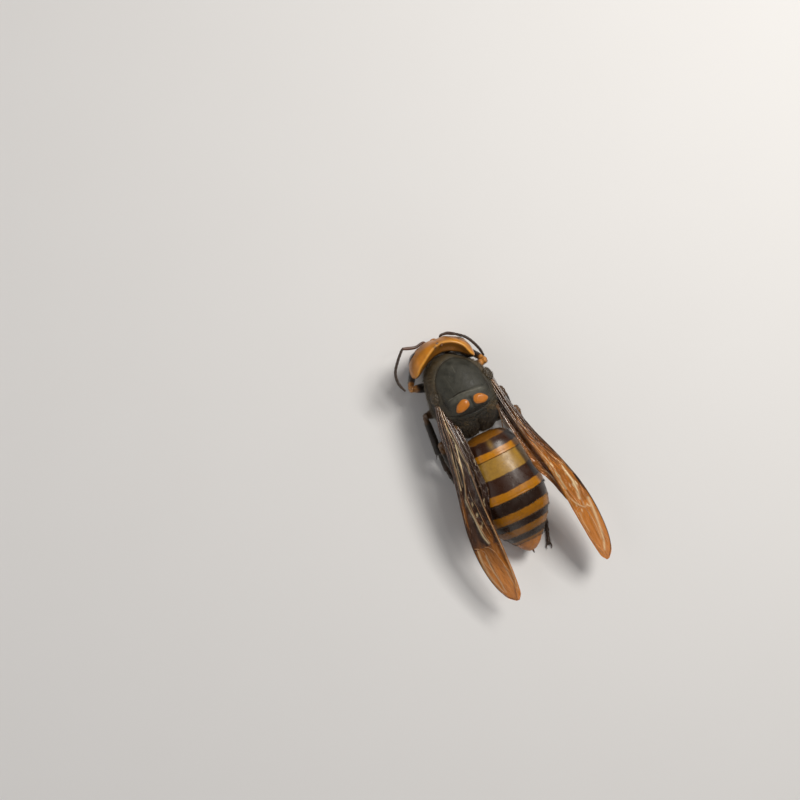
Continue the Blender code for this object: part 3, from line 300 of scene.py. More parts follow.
# Crests with painted glints: share and place along each, how bright its painted glint is and how wide
# it is in mm.
GLINT_CRESTS = {
    "left": (
        (((0.0, 0.4), (0.06, 0.44), (0.11, 0.44), (0.17, 0.37), (0.25, 0.25), (0.31, 0.16),
          (0.36, 0.14)), 0.9, 0.13),
        (((0.2, 0.65), (0.27, 0.76), (0.35, 0.78), (0.41, 0.78)), 0.8, 0.12),
        (((0.21, 0.36), (0.29, 0.44), (0.36, 0.49), (0.42, 0.59), (0.46, 0.7)), 0.95, 0.13),
        (((0.46, 0.7), (0.51, 0.63), (0.56, 0.55), (0.62, 0.51), (0.67, 0.45), (0.69, 0.39)),
         1.0, 0.16),
        (((0.22, 0.54), (0.32, 0.67), (0.4, 0.66)), 0.5, 0.09),
        (((0.31, 0.1), (0.46, 0.07), (0.57, 0.05), (0.7, 0.05), (0.8, 0.05), (0.95, 0.07)),
         0.45, 0.09),
        (((0.71, 0.86), (0.79, 0.9), (0.87, 0.9), (0.93, 0.86)), 0.45, 0.2),
        (((0.74, 0.67), (0.83, 0.69), (0.88, 0.67), (0.94, 0.74)), 0.5, 0.13),
        (((0.82, 0.22), (0.9, 0.2), (0.94, 0.14)), 0.35, 0.12),
    ),
    "right": (
        (((0.05, 0.6), (0.16, 0.7), (0.25, 0.5), (0.34, 0.42), (0.4, 0.55), (0.46, 0.72),
          (0.5, 0.84)), 0.55, 0.12),
        (((0.1, 0.3), (0.2, 0.2), (0.28, 0.13), (0.36, 0.24), (0.41, 0.22), (0.47, 0.22)),
         0.7, 0.12),
        (((0.42, 0.2), (0.47, 0.22), (0.52, 0.2), (0.57, 0.2), (0.61, 0.18)), 1.0, 0.2),
        (((0.51, 0.72), (0.55, 0.68), (0.6, 0.68), (0.64, 0.58), (0.68, 0.5)), 1.0, 0.26),
        (((0.45, 0.07), (0.54, 0.06), (0.6, 0.1)), 0.7, 0.12),
        (((0.62, 0.12), (0.67, 0.18), (0.71, 0.33), (0.73, 0.5)), 0.7, 0.12),
        (((0.73, 0.5), (0.725, 0.62), (0.74, 0.74)), 0.8, 0.12),
        (((0.7, 0.84), (0.77, 0.78), (0.84, 0.7), (0.91, 0.6), (0.95, 0.45)), 0.6, 0.3),
        (((0.76, 0.53), (0.83, 0.55), (0.9, 0.5)), 0.3, 0.12),
        (((0.74, 0.19), (0.79, 0.14), (0.84, 0.16)), 0.35, 0.14),
    ),
}
# How smoky the forewing is outside the smoke line: its own smoke, with painted shade added on the left
# wing to keep it darker than the right.
SMOKE_AND_SHADE = {"left": 0.8, "right": 0.5}
SMOKE_LINE = {  # the membrane outside this line is smoky
    "left": ((0.0, 0.62), (0.38, 0.62), (0.46, 1.3)),
    "right": ((0.0, 0.5), (0.16, 0.74), (0.25, 0.54), (0.34, 0.46), (0.4, 0.58), (0.46, 0.76),
              (0.54, 1.3)),
}
# Where painted sparkles lie on the crushed membrane: share, place, and half the reach along and across.
PAINTED_SPARKLES = {
    "left": ((0.5, 0.46, 0.05, 0.14), (0.58, 0.36, 0.04, 0.1)),
    "right": ((0.5, 0.2, 0.08, 0.16), (0.6, 0.62, 0.06, 0.2), (0.44, 0.3, 0.04, 0.12),
              (0.72, 0.4, 0.02, 0.4)),
}
# The left wing turns to amber later than the right, as painted shade that keeps it darker.
AMBER_SPAN = {"left": (0.5, 0.95), "right": (0.08, 0.42)}  # where the smoky root turns to amber
STIGMA = (0.55, 0.66)  # the dark spot on the leading edge, as shares of the length
STIGMA_RADIUS = 0.14

# Legs: hip, end of the coxa, knee, ankle, and then the points that the tarsus passes.
LEGS = {
    "fore_left": ((2.1, -6.6, 4.4), (3.2, -5.6, 2.4), (8.2, -7.2, 4.8), (5.6, -10.8, 1.5),
                  (4.4, -11.0, 0.65), (3.0, -10.4, 0.34), (1.9, -9.2, 0.28)),
    "fore_right": ((-1.7, -6.6, 4.4), (-2.8, -5.6, 2.4), (-7.5, -6.1, 4.8), (-5.1, -10.2, 1.5),
                   (-3.7, -10.6, 0.65), (-2.3, -10.1, 0.34), (-1.3, -9.0, 0.28)),
    "mid_left": ((2.6, -1.6, 3.4), (3.0, -1.2, 1.6), (8.0, -1.2, 4.6), (8.3, 6.4, 1.5),
                 (8.3, 9.6, 0.6), (7.9, 12.6, 0.34), (7.5, 15.0, 0.28)),
    "mid_right": ((-2.6, -1.6, 3.4), (-3.0, -1.2, 1.6), (-7.9, 0.4, 4.5), (-7.9, 7.4, 1.4),
                  (-8.1, 10.4, 0.6), (-8.2, 13.2, 0.34), (-8.3, 15.6, 0.28)),
    "hind_left": ((2.4, 3.0, 3.6), (2.6, 4.2, 1.8), (7.9, 5.2, 5.8), (6.6, 16.4, 1.6),
                  (5.8, 19.6, 0.55), (4.4, 23.8, 0.34), (2.3, 27.6, 0.28), (0.6, 29.9, 0.28)),
    "hind_right": ((-2.4, 3.0, 3.6), (-2.6, 4.2, 1.8), (-8.6, 5.0, 5.9), (-7.0, 16.6, 1.6),
                   (-6.4, 19.6, 0.55), (-5.6, 23.5, 0.34), (-4.9, 27.3, 0.28), (-3.5, 31.5, 0.28)),
}
LEG_THICKNESS = {"fore": 0.92, "mid": 1.0, "hind": 1.1}
COXA_PROFILE = ((-0.1, 0.9), (0.0, 1.2), (0.35, 1.32), (0.75, 1.1), (1.0, 0.8))
FEMUR_PROFILE = (
    (-0.04, 0.55), (0.05, 0.62), (0.11, 0.5), (0.16, 0.72), (0.3, 0.98), (0.5, 1.0), (0.75, 0.86),
    (0.9, 0.66), (0.97, 0.7), (1.02, 0.56),
)
FEMUR_BOW = 0.35
TIBIA_PROFILE = (
    (0.0, 0.4), (0.03, 0.52), (0.08, 0.5), (0.18, 0.62), (0.45, 0.7), (0.75, 0.72), (0.93, 0.76),
    (0.985, 0.7), (1.0, 0.5),
)
SPURS = {"fore": (1.0,), "mid": (1.0, -1.0), "hind": (1.0, -1.0)}
SPUR_LENGTH = 1.3
TARSUS_RADII = (0.5, 0.36)
TARSOMERES = (0.0, 0.44, 0.64, 0.77, 0.86, 1.0)
TARSOMERE_PROFILE = ((0.0, 0.5), (0.06, 0.66), (0.5, 0.84), (0.86, 1.04), (0.95, 1.06), (1.0, 0.8))
TARSOMERE_GAPS = (0.005, 0.006)
KNEE_TONES = {"fore": 1.0, "mid": 0.12, "hind": 0.3}  # how light each pair's knees are
# The path of a claw from the end of the foot: ahead, aside and up.
CLAW_PATH = ((-0.2, 0.12, 0.0), (0.35, 0.42, 0.12), (0.8, 0.55, 0.06), (1.1, 0.42, -0.14))
CLAW_LENGTH = 1.1

CHITIN_IOR = 1.55

# The camera looks down on the hornet's back, turned so that its head is at the upper left.
CAMERA_PLACE = (31.28, 0.0, 210.98)
CAMERA_AIM = (11.0346, -6.2477, 6.0)
CAMERA_UP_BEARING = -116.16
CAMERA_LENS = 48.6
SENSOR_WIDTH = 36.0
FLOOR_SIZE = 4.0
FLOOR_DROP = 0.00002
FLOOR_MOTTLE = (0.5, 0.48, 0.45, 1.0)
STUDIO_COLOUR = (1.0, 0.97, 0.94, 1.0)
STUDIO_STRENGTH = 0.16
# Each light: its place, size, power and colour.
LIGHTS = (
    ("key", (-0.22, -0.1, 0.33), 0.15, 1.5, (1.0, 0.96, 0.89)),
    ("fill", (0.34, -0.1, 0.22), 0.35, 0.4, (1.0, 0.97, 0.94)),
    ("back", (0.1, 0.4, 0.12), 0.25, 0.2, (1.0, 0.98, 0.95)),
    ("glint", (-0.08, 0.02, 0.36), 0.012, 0.05, (1.0, 0.95, 0.85)),
)


# ---- settings that a user can change ----


def linear(sheet_colour):
    """A colour written as sRGB hex, as the linear values that shaders take."""
    values = [int(sheet_colour[k : k + 2], 16) / 255 for k in (1, 3, 5)]
    return [v / 12.92 if v <= 0.04045 else ((v + 0.055) / 1.055) ** 2.4 for v in values]


def colour(name, description, sheet_colour):
    return bpy.props.FloatVectorProperty(
        name=name, description=description, subtype="COLOR", size=4, min=0.0, max=1.0,
        default=(*linear(sheet_colour), 1.0),
    )


def length(name, description, millimetres):
    return bpy.props.FloatProperty(
        name=name, description=description, default=millimetres * MM, min=0.0, precision=5,
        subtype="DISTANCE", unit="LENGTH",
    )


class HornetColours(bpy.types.PropertyGroup):
    """Colours of the shell, wings and hair."""

    head: colour("Head", "Orange shell of the head's face", "#bd7716")
    # A painted highlight along the ridge of the head.
    head_ridge_highlight: colour("Head ridge", "Bright line along the head's ridge", "#dc9c3e")
    # Partly the head's own darker ochre, partly painted shade on the slope behind its ridge, which
    # faces away from the light.
    head_shade: colour("Head slope", "Darker ochre behind the ridge of the head", "#70450e")
    eye: colour("Eyes", "Dark brown of the compound eyes", "#33221a")
    tooth: colour("Teeth", "Black-brown of the mandibles' teeth", "#120a06")
    scape: colour("Scape", "Red-brown first joint of the antennae", "#5a3118")
    flagellum: colour("Flagellum", "Olive-brown outer joints of the antennae", "#33241a")
    collar: colour("Collar", "Olive-brown pronotum", "#463820")
    scutum: colour("Scutum", "Greenish black back of the thorax", "#282822")
    # Also the colour of the painted highlights along the thorax's raised lines and edges.
    scutum_pale: colour("Pale lines", "Grey-green lines and edges of the thorax", "#66645a")
    seam: colour("Sutures", "Near black of the sutures and the flanks", "#130f0b")
    spot: colour("Spots", "Orange spots of the scutellum", "#c07015")
    band_front: colour("Front band", "Orange-brown front of the abdomen", "#7d4f14")
    band_yellow: colour("Yellow bands", "Yellow rear edges of the segments", "#bb7805")
    band_mustard: colour("Mustard band", "Greyish yellow of the second segment", "#a07a30")
    band_dark: colour("Brown bands", "Dark brown of the front segments", "#321a0e")
    band_black: colour("Black bands", "Black-brown of the rear segments", "#1e0f06")
    tip: colour("Tip", "Orange last segment", "#b06c22")
    leg: colour("Legs", "Black-brown of the legs", "#1c120b")
    knee: colour("Knees", "Light orange of the fore knees", "#b87a30")
    foot: colour("Feet", "Dark brown of the feet", "#3a2210")
    wing_dark: colour("Wing root", "Smoky brown of the inner wing", "#331a0b")
    wing_tip: colour("Wing tip", "Pale pinkish amber of the wing tips", "#dc9050")
    wing_amber: colour("Wing", "Amber of the outer wing", "#d17d1c")
    # Colour of the painted glints on the wings' crests and crushed membrane.
    wing_painted_glint: colour("Wing glints", "Golden crests of the folded wing", "#fce3b4")
    vein: colour("Veins", "Brown of the veins", "#3b200d")
    vein_pale: colour("Pale veins", "Pale brown of the veins near the body", "#b3875a")
    hair_dark: colour("Dark hair", "Dark brown of the hair", "#20160c")
    hair_pale: colour("Pale hair", "Pale golden ends of the hair", "#8f7340")
    floor: colour("Floor", "Pale floor", "#dadadc")


class HornetSizes(bpy.types.PropertyGroup):
    """Fine sizes of the shell, eyes, wings and hair."""

    voxel: length("Grid", "Grid of the remeshed shell plates", 0.085)
    suture: length("Suture", "Hairline between two plates of the thorax", 0.01)
    membrane: length("Membrane", "Thickness of the wing membranes", 0.07)
    pit_spacing: length("Pits", "Distance between the pits of the shell", 0.22)
    facet_width: length("Facets", "Width of an eye facet, drawn twice life size to show", 0.06)
    hair_radius: length("Hair", "Radius of a hair at its root", 0.017)
    hair_share: bpy.props.FloatProperty(
        name="Hair share", description="Share of the full number of hairs", default=1.0,
        min=0.0, max=1.0, subtype="FACTOR",
    )


def colours():
    return bpy.context.scene.hornet_colours


def sizes():
    return bpy.context.scene.hornet_sizes


# ---- curves and arrays ----


def smooth(stations, t):
    """The values at t on a smooth curve through the stations, whose first column is t."""
    table = np.asarray(stations, float)
    knots = table[:, 0]
    slopes = np.gradient(table, knots, axis=0)
    t = np.asarray(t, float)
    i = np.clip(np.searchsorted(knots, t) - 1, 0, len(knots) - 2)
    span = (knots[i + 1] - knots[i])[..., None]
    u = (t - knots[i])[..., None] / span
    start = (1 + 2 * u) * (1 - u) ** 2 * table[i] + u * (1 - u) ** 2 * span * slopes[i]
    end = u * u * (3 - 2 * u) * table[i + 1] + u * u * (u - 1) * span * slopes[i + 1]
    return np.moveaxis((start + end)[..., 1:], -1, 0)


def path_points(points, shares):
    """Points at shares of the length of a smooth path through the given points."""
    knots = np.asarray(points, float)
    steps = np.linalg.norm(np.diff(knots, axis=0), axis=1)
    along = np.concatenate([[0.0], np.cumsum(steps)])
    return smooth(np.column_stack([along / along[-1], knots]), shares).T


def bearings(count):
    return np.arange(count) * 2 * math.pi / count


def oval(bearing, half_width, half_height, power=2.0):
    """Points of a superellipse."""
    across, up = np.cos(bearing), np.sin(bearing)
    x = np.sign(across) * np.abs(across) ** (2 / power) * half_width
    y = np.sign(up) * np.abs(up) ** (2 / power) * half_height
    return x, y


def rise(values, low, high):
    """0 below low, 1 above high and a smooth step between."""
    t = np.clip((values - low) / (high - low), 0.0, 1.0)
    return t * t * (3 - 2 * t)


def near(values, middle, reach):
    """1 at the middle, falling softly to nearly 0 at twice the reach from it."""
    return np.exp(-(((values - middle) / reach) ** 2))


def unit(vectors):
    return vectors / np.maximum(np.linalg.norm(vectors, axis=-1, keepdims=True), 1e-9)


def waves(points, scale, seed):
    """A gentle seeded unevenness from -1 to 1, with waves of about the given length."""
    draw = np.random.default_rng(seed)
    total = np.zeros(len(points))
    for _ in range(6):
        direction = unit(draw.normal(size=3)) * draw.uniform(0.7, 1.4)
        total += np.sin(points @ direction * 2 * math.pi / scale + draw.uniform(0, 2 * math.pi))
    return total / 6


# ---- modelling ----


def select_only(*objects):
    if bpy.context.object and bpy.context.object.mode != "OBJECT":
        bpy.ops.object.mode_set(mode="OBJECT")
    bpy.ops.object.select_all(action="DESELECT")
    for obj in objects:
        obj.select_set(True)
    bpy.context.view_layer.objects.active = objects[0]


def coordinates(obj):
    places = np.empty(len(obj.data.vertices) * 3)
    obj.data.vertices.foreach_get("co", places)
    return places.reshape(-1, 3)


def set_coordinates(obj, places):
    obj.data.vertices.foreach_set("co", np.asarray(places, float).ravel())
    obj.data.update()


def normals(obj):
    values = np.empty(len(obj.data.vertices) * 3)
    obj.data.vertex_normals.foreach_get("vector", values)
    return values.reshape(-1, 3)


def turn_outwards(obj):
    select_only(obj)
    bpy.ops.object.mode_set(mode="EDIT")
    bpy.ops.mesh.select_all(action="SELECT")
    bpy.ops.mesh.normals_make_consistent(inside=False)
    bpy.ops.object.mode_set(mode="OBJECT")


def loft(name, rings, tips):
    """A closed body through rings of points, from a ball with as many rows and columns."""
    rings = np.asarray(rings, float)
    rows, columns = rings.shape[:2]
    bpy.ops.mesh.primitive_uv_sphere_add(segments=columns, ring_count=rows + 1, radius=1.0)
    obj = bpy.context.object
    obj.name = obj.data.name = name
    ball = coordinates(obj)
    row = np.rint(np.arccos(ball[:, 2].clip(-1, 1)) / math.pi * (rows + 1)).astype(int)
    column = np.rint(np.arctan2(ball[:, 1], ball[:, 0]) * columns / (2 * math.pi)).astype(int)
    ends = [np.broadcast_to(np.asarray(tip, float), (1, columns, 3)) for tip in tips]
    set_coordinates(obj, np.concatenate([ends[0], rings, ends[1]])[row, column % columns])
    turn_outwards(obj)
    return obj


def limb(name, path, radii, columns=16, on_floor=False, dome=0.4, flat=1.0):
    """A round tapered limb along the path, with a low dome at each end."""
    path = np.asarray(path, float)
    ahead = unit(np.gradient(path, axis=0))
    normal = np.array((0.0, 0.0, 1.0) if abs(unit(path[-1] - path[0])[2]) < 0.8 else (0.0, 1.0, 0.0))
    turns = bearings(columns)
    rings = []
    for point, direction, radius in zip(path, ahead, radii):
        normal = unit(normal - direction * normal.dot(direction))
        side = np.cross(direction, normal)
        circle = np.outer(np.cos(turns), side) + flat * np.outer(np.sin(turns), normal)
        rings.append(point + radius * circle)
    tips = (path[0] - ahead[0] * radii[0] * dome, path[-1] + ahead[-1] * radii[-1] * dome)
    obj = loft(name, rings, tips)
    if on_floor:
        places = coordinates(obj)
        places[:, 2] = np.maximum(places[:, 2], 0.0)
        set_coordinates(obj, places)
    return obj


def profiled_limb(name, points, profile, thickness, rows=40, bow=0.0, **settings):
    """A limb between two points whose radius follows a profile, and which may bow upwards."""
    shares = np.linspace(profile[0][0], profile[-1][0], rows)
    start, end = np.array(points[0]), np.array(points[1])
    path = start + np.outer(shares, end - start)
    path[:, 2] += bow * np.sin(math.pi * shares.clip(0, 1))
    return limb(name, path, smooth(profile, shares)[0] * thickness, **settings)


def ball(name, centre, half_sizes, tilt=0.0, axis="X", columns=48, rows=32):
    bpy.ops.mesh.primitive_uv_sphere_add(segments=columns, ring_count=rows, radius=1.0, location=centre)
    obj = bpy.context.object
    obj.name = obj.data.name = name
    obj.scale = half_sizes
    obj.rotation_euler["XYZ".index(axis)] = math.radians(tilt)
    bpy.ops.object.transform_apply(location=True, rotation=True, scale=True)
    return obj


def prism(name, centre, half_sizes, low, high, power):
    """An upright prism on a superellipse."""
    x, y = oval(bearings(160), *half_sizes, power)
    rings = [np.column_stack([centre[0] + x, centre[1] + y, 0 * x + z]) for z in (low, high)]
    return loft(name, rings, [(*centre, low), (*centre, high)])


def apply_modifier(obj, kind, **settings):
    select_only(obj)
    modifier = obj.modifiers.new(kind.title(), kind)
    for key, value in settings.items():
        setattr(modifier, key, value)
    bpy.ops.object.modifier_apply(modifier=modifier.name)


def combine(obj, operation, *others):
    """Applies a Boolean with each of the other bodies, and removes them."""
    for other in others:
        apply_modifier(obj, "BOOLEAN", operation=operation, solver="MANIFOLD", object=other)
        bpy.data.objects.remove(other, do_unlink=True)
    return obj


def join(name, pieces):
    select_only(*pieces)
    bpy.ops.object.join()
    pieces[0].name = pieces[0].data.name = name
    return pieces[0]


def soften(obj, grid, passes=3):
    """Remeshes a body on an even grid and rounds its edges."""
    apply_modifier(obj, "REMESH", mode="VOXEL", voxel_size=grid)
    apply_modifier(obj, "SMOOTH", factor=0.5, iterations=passes)
    return obj


def sculpt(obj, height):
    """Moves each vertex along its normal by height(places, normals), in millimetres."""
    places, directions = coordinates(obj), normals(obj)
    set_coordinates(obj, places + directions * height(places, directions)[:, None])
    return obj


def line_distance(places, path, axes=FROM_ABOVE):
    """How far each place lies from a path, as seen along the axis that is left out."""
    line = path_points(path, np.linspace(0.0, 1.0, 40))
    flat = places[:, axes]
    nearest = np.full(len(places), 1e9)
    for start, end in zip(line[:-1], line[1:]):
        run = end - start
        share = ((flat - start) @ run / max(run @ run, 1e-9)).clip(0, 1)
        nearest = np.minimum(nearest, np.linalg.norm(flat - start - share[:, None] * run, axis=1))
    return nearest


def groove(places, directions, path, width, depth, axes=FROM_ABOVE):
    """Depth of a line pressed into the faces that look along the axis left out."""
    out = ({0, 1, 2} - set(axes)).pop()
    looks = directions[:, out] if out == 2 else np.abs(directions[:, out])
    return -depth * near(line_distance(places, path, axes), 0.0, width) * rise(looks, 0.1, 0.4)


def mark(obj, name, values):
    """Stores one value, or one for each vertex, which materials read by its name."""
    values = np.broadcast_to(np.clip(values, 0.0, 1.0), len(obj.data.vertices))
    attribute = obj.data.attributes.new(name, "FLOAT", "POINT")
    attribute.data.foreach_set("value", values.astype(np.float32))


def finish_piece(obj, material, slot, *nodes):
    """Puts a piece that was modelled in millimetres at its real size and place."""
    select_only(obj)
    obj.scale = (MM, MM, MM)
    obj.location = ORIGIN
    bpy.ops.object.transform_apply(location=True, rotation=True, scale=True)
    obj.data.materials.clear()
    obj.data.materials.append(material)
    bpy.ops.object.shade_smooth()
    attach(obj, BODY)
    if nodes:
        obj.name = obj.data.name = f"{nodes[0]}_fine"
        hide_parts(*nodes)
    return obj


# ---- materials ----


def fill(tree, inputs, values):
    """Links each input to a socket, or sets it to a value."""
    for key, value in values.items():
        if isinstance(value, bpy.types.NodeSocket):
            tree.links.new(value, inputs[key])
        else:
            inputs[key].default_value = value


def add_node(tree, kind, inputs=None, settings=None, stops=()):
    """Adds a node, with its inputs set or linked, its settings, and a ramp's stops."""
    node = tree.nodes.new("ShaderNode" + kind)
    for key, value in (settings or {}).items():
        setattr(node, key, value)
    fill(tree, node.inputs, inputs or {})
    for number, (place, tone) in enumerate(stops):
        elements = node.color_ramp.elements
        stop = elements[number] if number < 2 else elements.new(place)
        stop.position = place
        stop.color = tone
    return node


def new_material(name):
    """A material, its shader, and its place in millimetres round the scutellum."""
    material = bpy.data.materials.new(name)
    material.use_nodes = True
    tree = material.node_tree
    where = add_node(tree, "TexCoord").outputs["Object"]
    mapping = {"Vector": where, "Scale": (1 / MM,) * 3, "Location": -ORIGIN / MM}
    place = add_node(tree, "Mapping", mapping).outputs[0]
    return material, tree, place, tree.nodes["Principled BSDF"]


def mixed(tree, share, first, second, blend="MIX"):
    """The socket of two colours mixed by a share."""
    node = add_node(tree, "Mix", settings={"data_type": "RGBA", "blend_type": blend})
    sockets = {(socket.name, socket.type): socket for socket in node.inputs}
    values = {("Factor", "VALUE"): share, ("A", "RGBA"): first, ("B", "RGBA"): second}
    fill(tree, sockets, values)
    return next(socket for socket in node.outputs if socket.type == "RGBA")


def stored(tree, name):
    return add_node(tree, "Attribute", settings={"attribute_name": name}).outputs["Fac"]


def painted(tree, base, *layers):
    """A colour with others laid over it, each where the stored value of its name says."""
    for name, tone in layers:
        base = mixed(tree, stored(tree, name), base, tone)
    return base


def clouded(tree, base, tone, mottle, low, high, most):
    """A colour with patches of another where a mottle is high, up to the share given last."""
    span = {"Value": mottle, "From Min": low, "From Max": high, "To Max": most}
    share = add_node(tree, "MapRange", span)
    return mixed(tree, share.outputs["Result"], base, tone)


def chitin_surface(tree, place, shader, roughness, pit_depth, grain=0.35, patchy=0.12):
    """Gives a shader the pits, grain and uneven gloss of chitin, and returns its two mottles."""
    cells = add_node(tree, "TexVoronoi", {"Vector": place, "Scale": MM / sizes().pit_spacing})
    pits = add_node(tree, "MapRange", {"Value": cells.outputs["Distance"], "From Max": 0.35})
    fine = {"Vector": place, "Scale": 9.0, "Detail": 6.0, "Roughness": 0.6}
    fine = add_node(tree, "TexNoise", fine)
    broad = add_node(tree, "TexNoise", {"Vector": place, "Scale": 0.7, "Detail": 3.0})
    pit_bump = {"Height": pits.outputs["Result"], "Distance": pit_depth * MM, "Strength": 1.0}
    pit_bump = add_node(tree, "Bump", pit_bump)
    bump = add_node(tree, "Bump", {
        "Height": fine.outputs["Fac"], "Distance": 0.03 * MM, "Strength": grain,
        "Normal": pit_bump.outputs["Normal"],
    })
    gloss = add_node(tree, "MapRange", {
        "Value": broad.outputs["Fac"], "From Min": 0.35, "From Max": 0.65,
        "To Min": roughness - patchy / 2, "To Max": roughness + patchy,
    })
    fill(tree, shader.inputs, {"Normal": bump.outputs["Normal"], "Roughness": gloss.outputs["Result"],
                               "IOR": CHITIN_IOR})
    return broad.outputs["Fac"], fine.outputs["Fac"]


def head_material():
    """Chitin with a thin waxy layer, moulded smooth: warm orange with soft broad highlights."""
    material, tree, place, shader = new_material("orange_head_chitin")
    broad, _ = chitin_surface(tree, place, shader, 0.36, 0.012)
    shade = colours().head_shade
    # Painted shade behind the ridge and a painted highlight along it.
    base = painted(tree, shade, ("tone", colours().head), ("ridge", colours().head_ridge_highlight))
    base = clouded(tree, base, shade, broad, 0.4, 0.7, 0.35)
    base = painted(tree, base, ("dark", colours().tooth))
    fill(tree, shader.inputs, {
        "Base Color": base, "Coat Weight": 0.12, "Coat Roughness": 0.25, "Specular IOR Level": 0.35,
        "Subsurface Weight": 0.08, "Subsurface Radius": (0.6 * MM, 0.3 * MM, 0.1 * MM),
    })
    return material


def eye_material():
    """Clear chitin lenses over dark pigment: a polished dark brown with fine facets."""
    material, tree, place, shader = new_material("faceted_eye_lenses")
    scale = MM / sizes().facet_width
    cells = add_node(tree, "TexVoronoi", {"Vector": place, "Scale": scale, "Randomness": 0.25})
    lens = {"Height": cells.outputs["Distance"], "Distance": 0.012 * MM, "Strength": 0.6}
    bump = add_node(tree, "Bump", lens, {"invert": True})
    broad = add_node(tree, "TexNoise", {"Vector": place, "Scale": 0.5})
    base = mixed(tree, broad.outputs["Fac"], colours().eye, colours().tooth)
    fill(tree, shader.inputs, {
        "Base Color": base, "Roughness": 0.3, "Coat Weight": 0.45, "Coat Roughness": 0.12,
        "Normal": bump.outputs["Normal"],
    })
    return material


def plain_chitin(name, first, second, attribute, roughness, pit_depth, coat=0.1):
    """Chitin of two colours mixed by a stored value and by cloudy patches."""
    material, tree, place, shader = new_material(name)
    broad, _ = chitin_surface(tree, place, shader, roughness, pit_depth)
    base = painted(tree, first, (attribute, second))
    cloudy = {"Value": broad, "From Min": 0.35, "From Max": 0.65, "To Min": 0.65, "To Max": 1.25}
    cloudy = add_node(tree, "MapRange", cloudy).outputs["Result"]
    grey = add_node(tree, "CombineColor", {"Red": cloudy, "Green": cloudy, "Blue": cloudy})
    base = mixed(tree, 1.0, base, grey.outputs["Color"], "MULTIPLY")
    fill(tree, shader.inputs, {"Base Color": base, "Coat Weight": coat, "Coat Roughness": 0.3})
    return material


def thorax_material():
    """Matt pitted chitin, dull as slate, with two polished orange spots."""
    material, tree, place, shader = new_material("slate_black_thorax_chitin")
    broad, fine = chitin_surface(tree, place, shader, 0.55, 0.014, 0.5)
    pale = colours().scutum_pale
    base = painted(tree, colours().scutum, ("olive", colours().collar))
    base = clouded(tree, base, pale, broad, 0.35, 0.7, 0.22)
    orange = clouded(tree, colours().spot, colours().head_shade, fine, 0.35, 0.75, 0.45)
    base = painted(tree, base, ("pale", pale), ("dark", colours().seam), ("spot", orange))
    coat = add_node(tree, "Math", {0: stored(tree, "spot"), 1: 0.5}, {"operation": "MULTIPLY"})
    fill(tree, shader.inputs, {
        "Base Color": base, "Coat Weight": coat.outputs[0], "Coat Roughness": 0.25,
        "Specular IOR Level": 0.28,
    })
    return material


def abdomen_material():
    """Smooth chitin, lacquer-like: yellow and brown-black bands with wavy, soft edges."""
    material, tree, place, shader = new_material("banded_abdomen_chitin")
    chitin_surface(tree, place, shader, 0.3, 0.008, 0.3, 0.12)
    xyz = add_node(tree, "SeparateXYZ", {"Vector": place})
    wavy = add_node(tree, "TexNoise", {"Vector": place, "Scale": 0.9, "Detail": 4.0})
    bow = add_node(tree, "Math", {0: xyz.outputs["X"], 1: 2.0}, {"operation": "POWER"})
    bowed = {0: bow.outputs[0], 1: 0.009, 2: xyz.outputs["Y"]}
    bowed = add_node(tree, "Math", bowed, {"operation": "MULTIPLY_ADD"})
    wave = {0: wavy.outputs["Fac"], 1: 0.5, 2: bowed.outputs[0]}
    wave = add_node(tree, "Math", wave, {"operation": "MULTIPLY_ADD"})
    start, reach = BANDS[0][0], ABDOMEN_END - BANDS[0][0]
    along = {"Value": wave.outputs[0], "From Min": start + 0.25, "From Max": start + 0.25 + reach}
    along = add_node(tree, "MapRange", along)
    stops = [(0.0, getattr(colours(), BANDS[0][1]))]
    for (_, before), (y, after) in zip(BANDS, BANDS[1:]):
        stops.append(((y - BAND_BLUR / 2 - start) / reach, getattr(colours(), before)))
        stops.append(((y + BAND_BLUR / 2 - start) / reach, getattr(colours(), after)))
    ramp = add_node(tree, "ValToRGB", {"Fac": along.outputs["Result"]}, stops=stops)
    cloudy = add_node(tree, "TexNoise", {"Vector": place, "Scale": 1.4, "Detail": 5.0})
    bands, brown, black = ramp.outputs["Color"], colours().band_dark, colours().band_black
    base = clouded(tree, bands, brown, cloudy.outputs["Fac"], 0.3, 0.7, 0.3)
    # Painted highlight on the first segment, painted shade towards the tail and painted shadow under
    # each plate's rear edge.
    base = painted(tree, base, ("smudge", colours().band_mustard), ("deep", black), ("dark", black))
    fill(tree, shader.inputs, {
        "Base Color": base, "Coat Weight": 0.08, "Coat Roughness": 0.15, "Specular IOR Level": 0.28,
    })
    return material


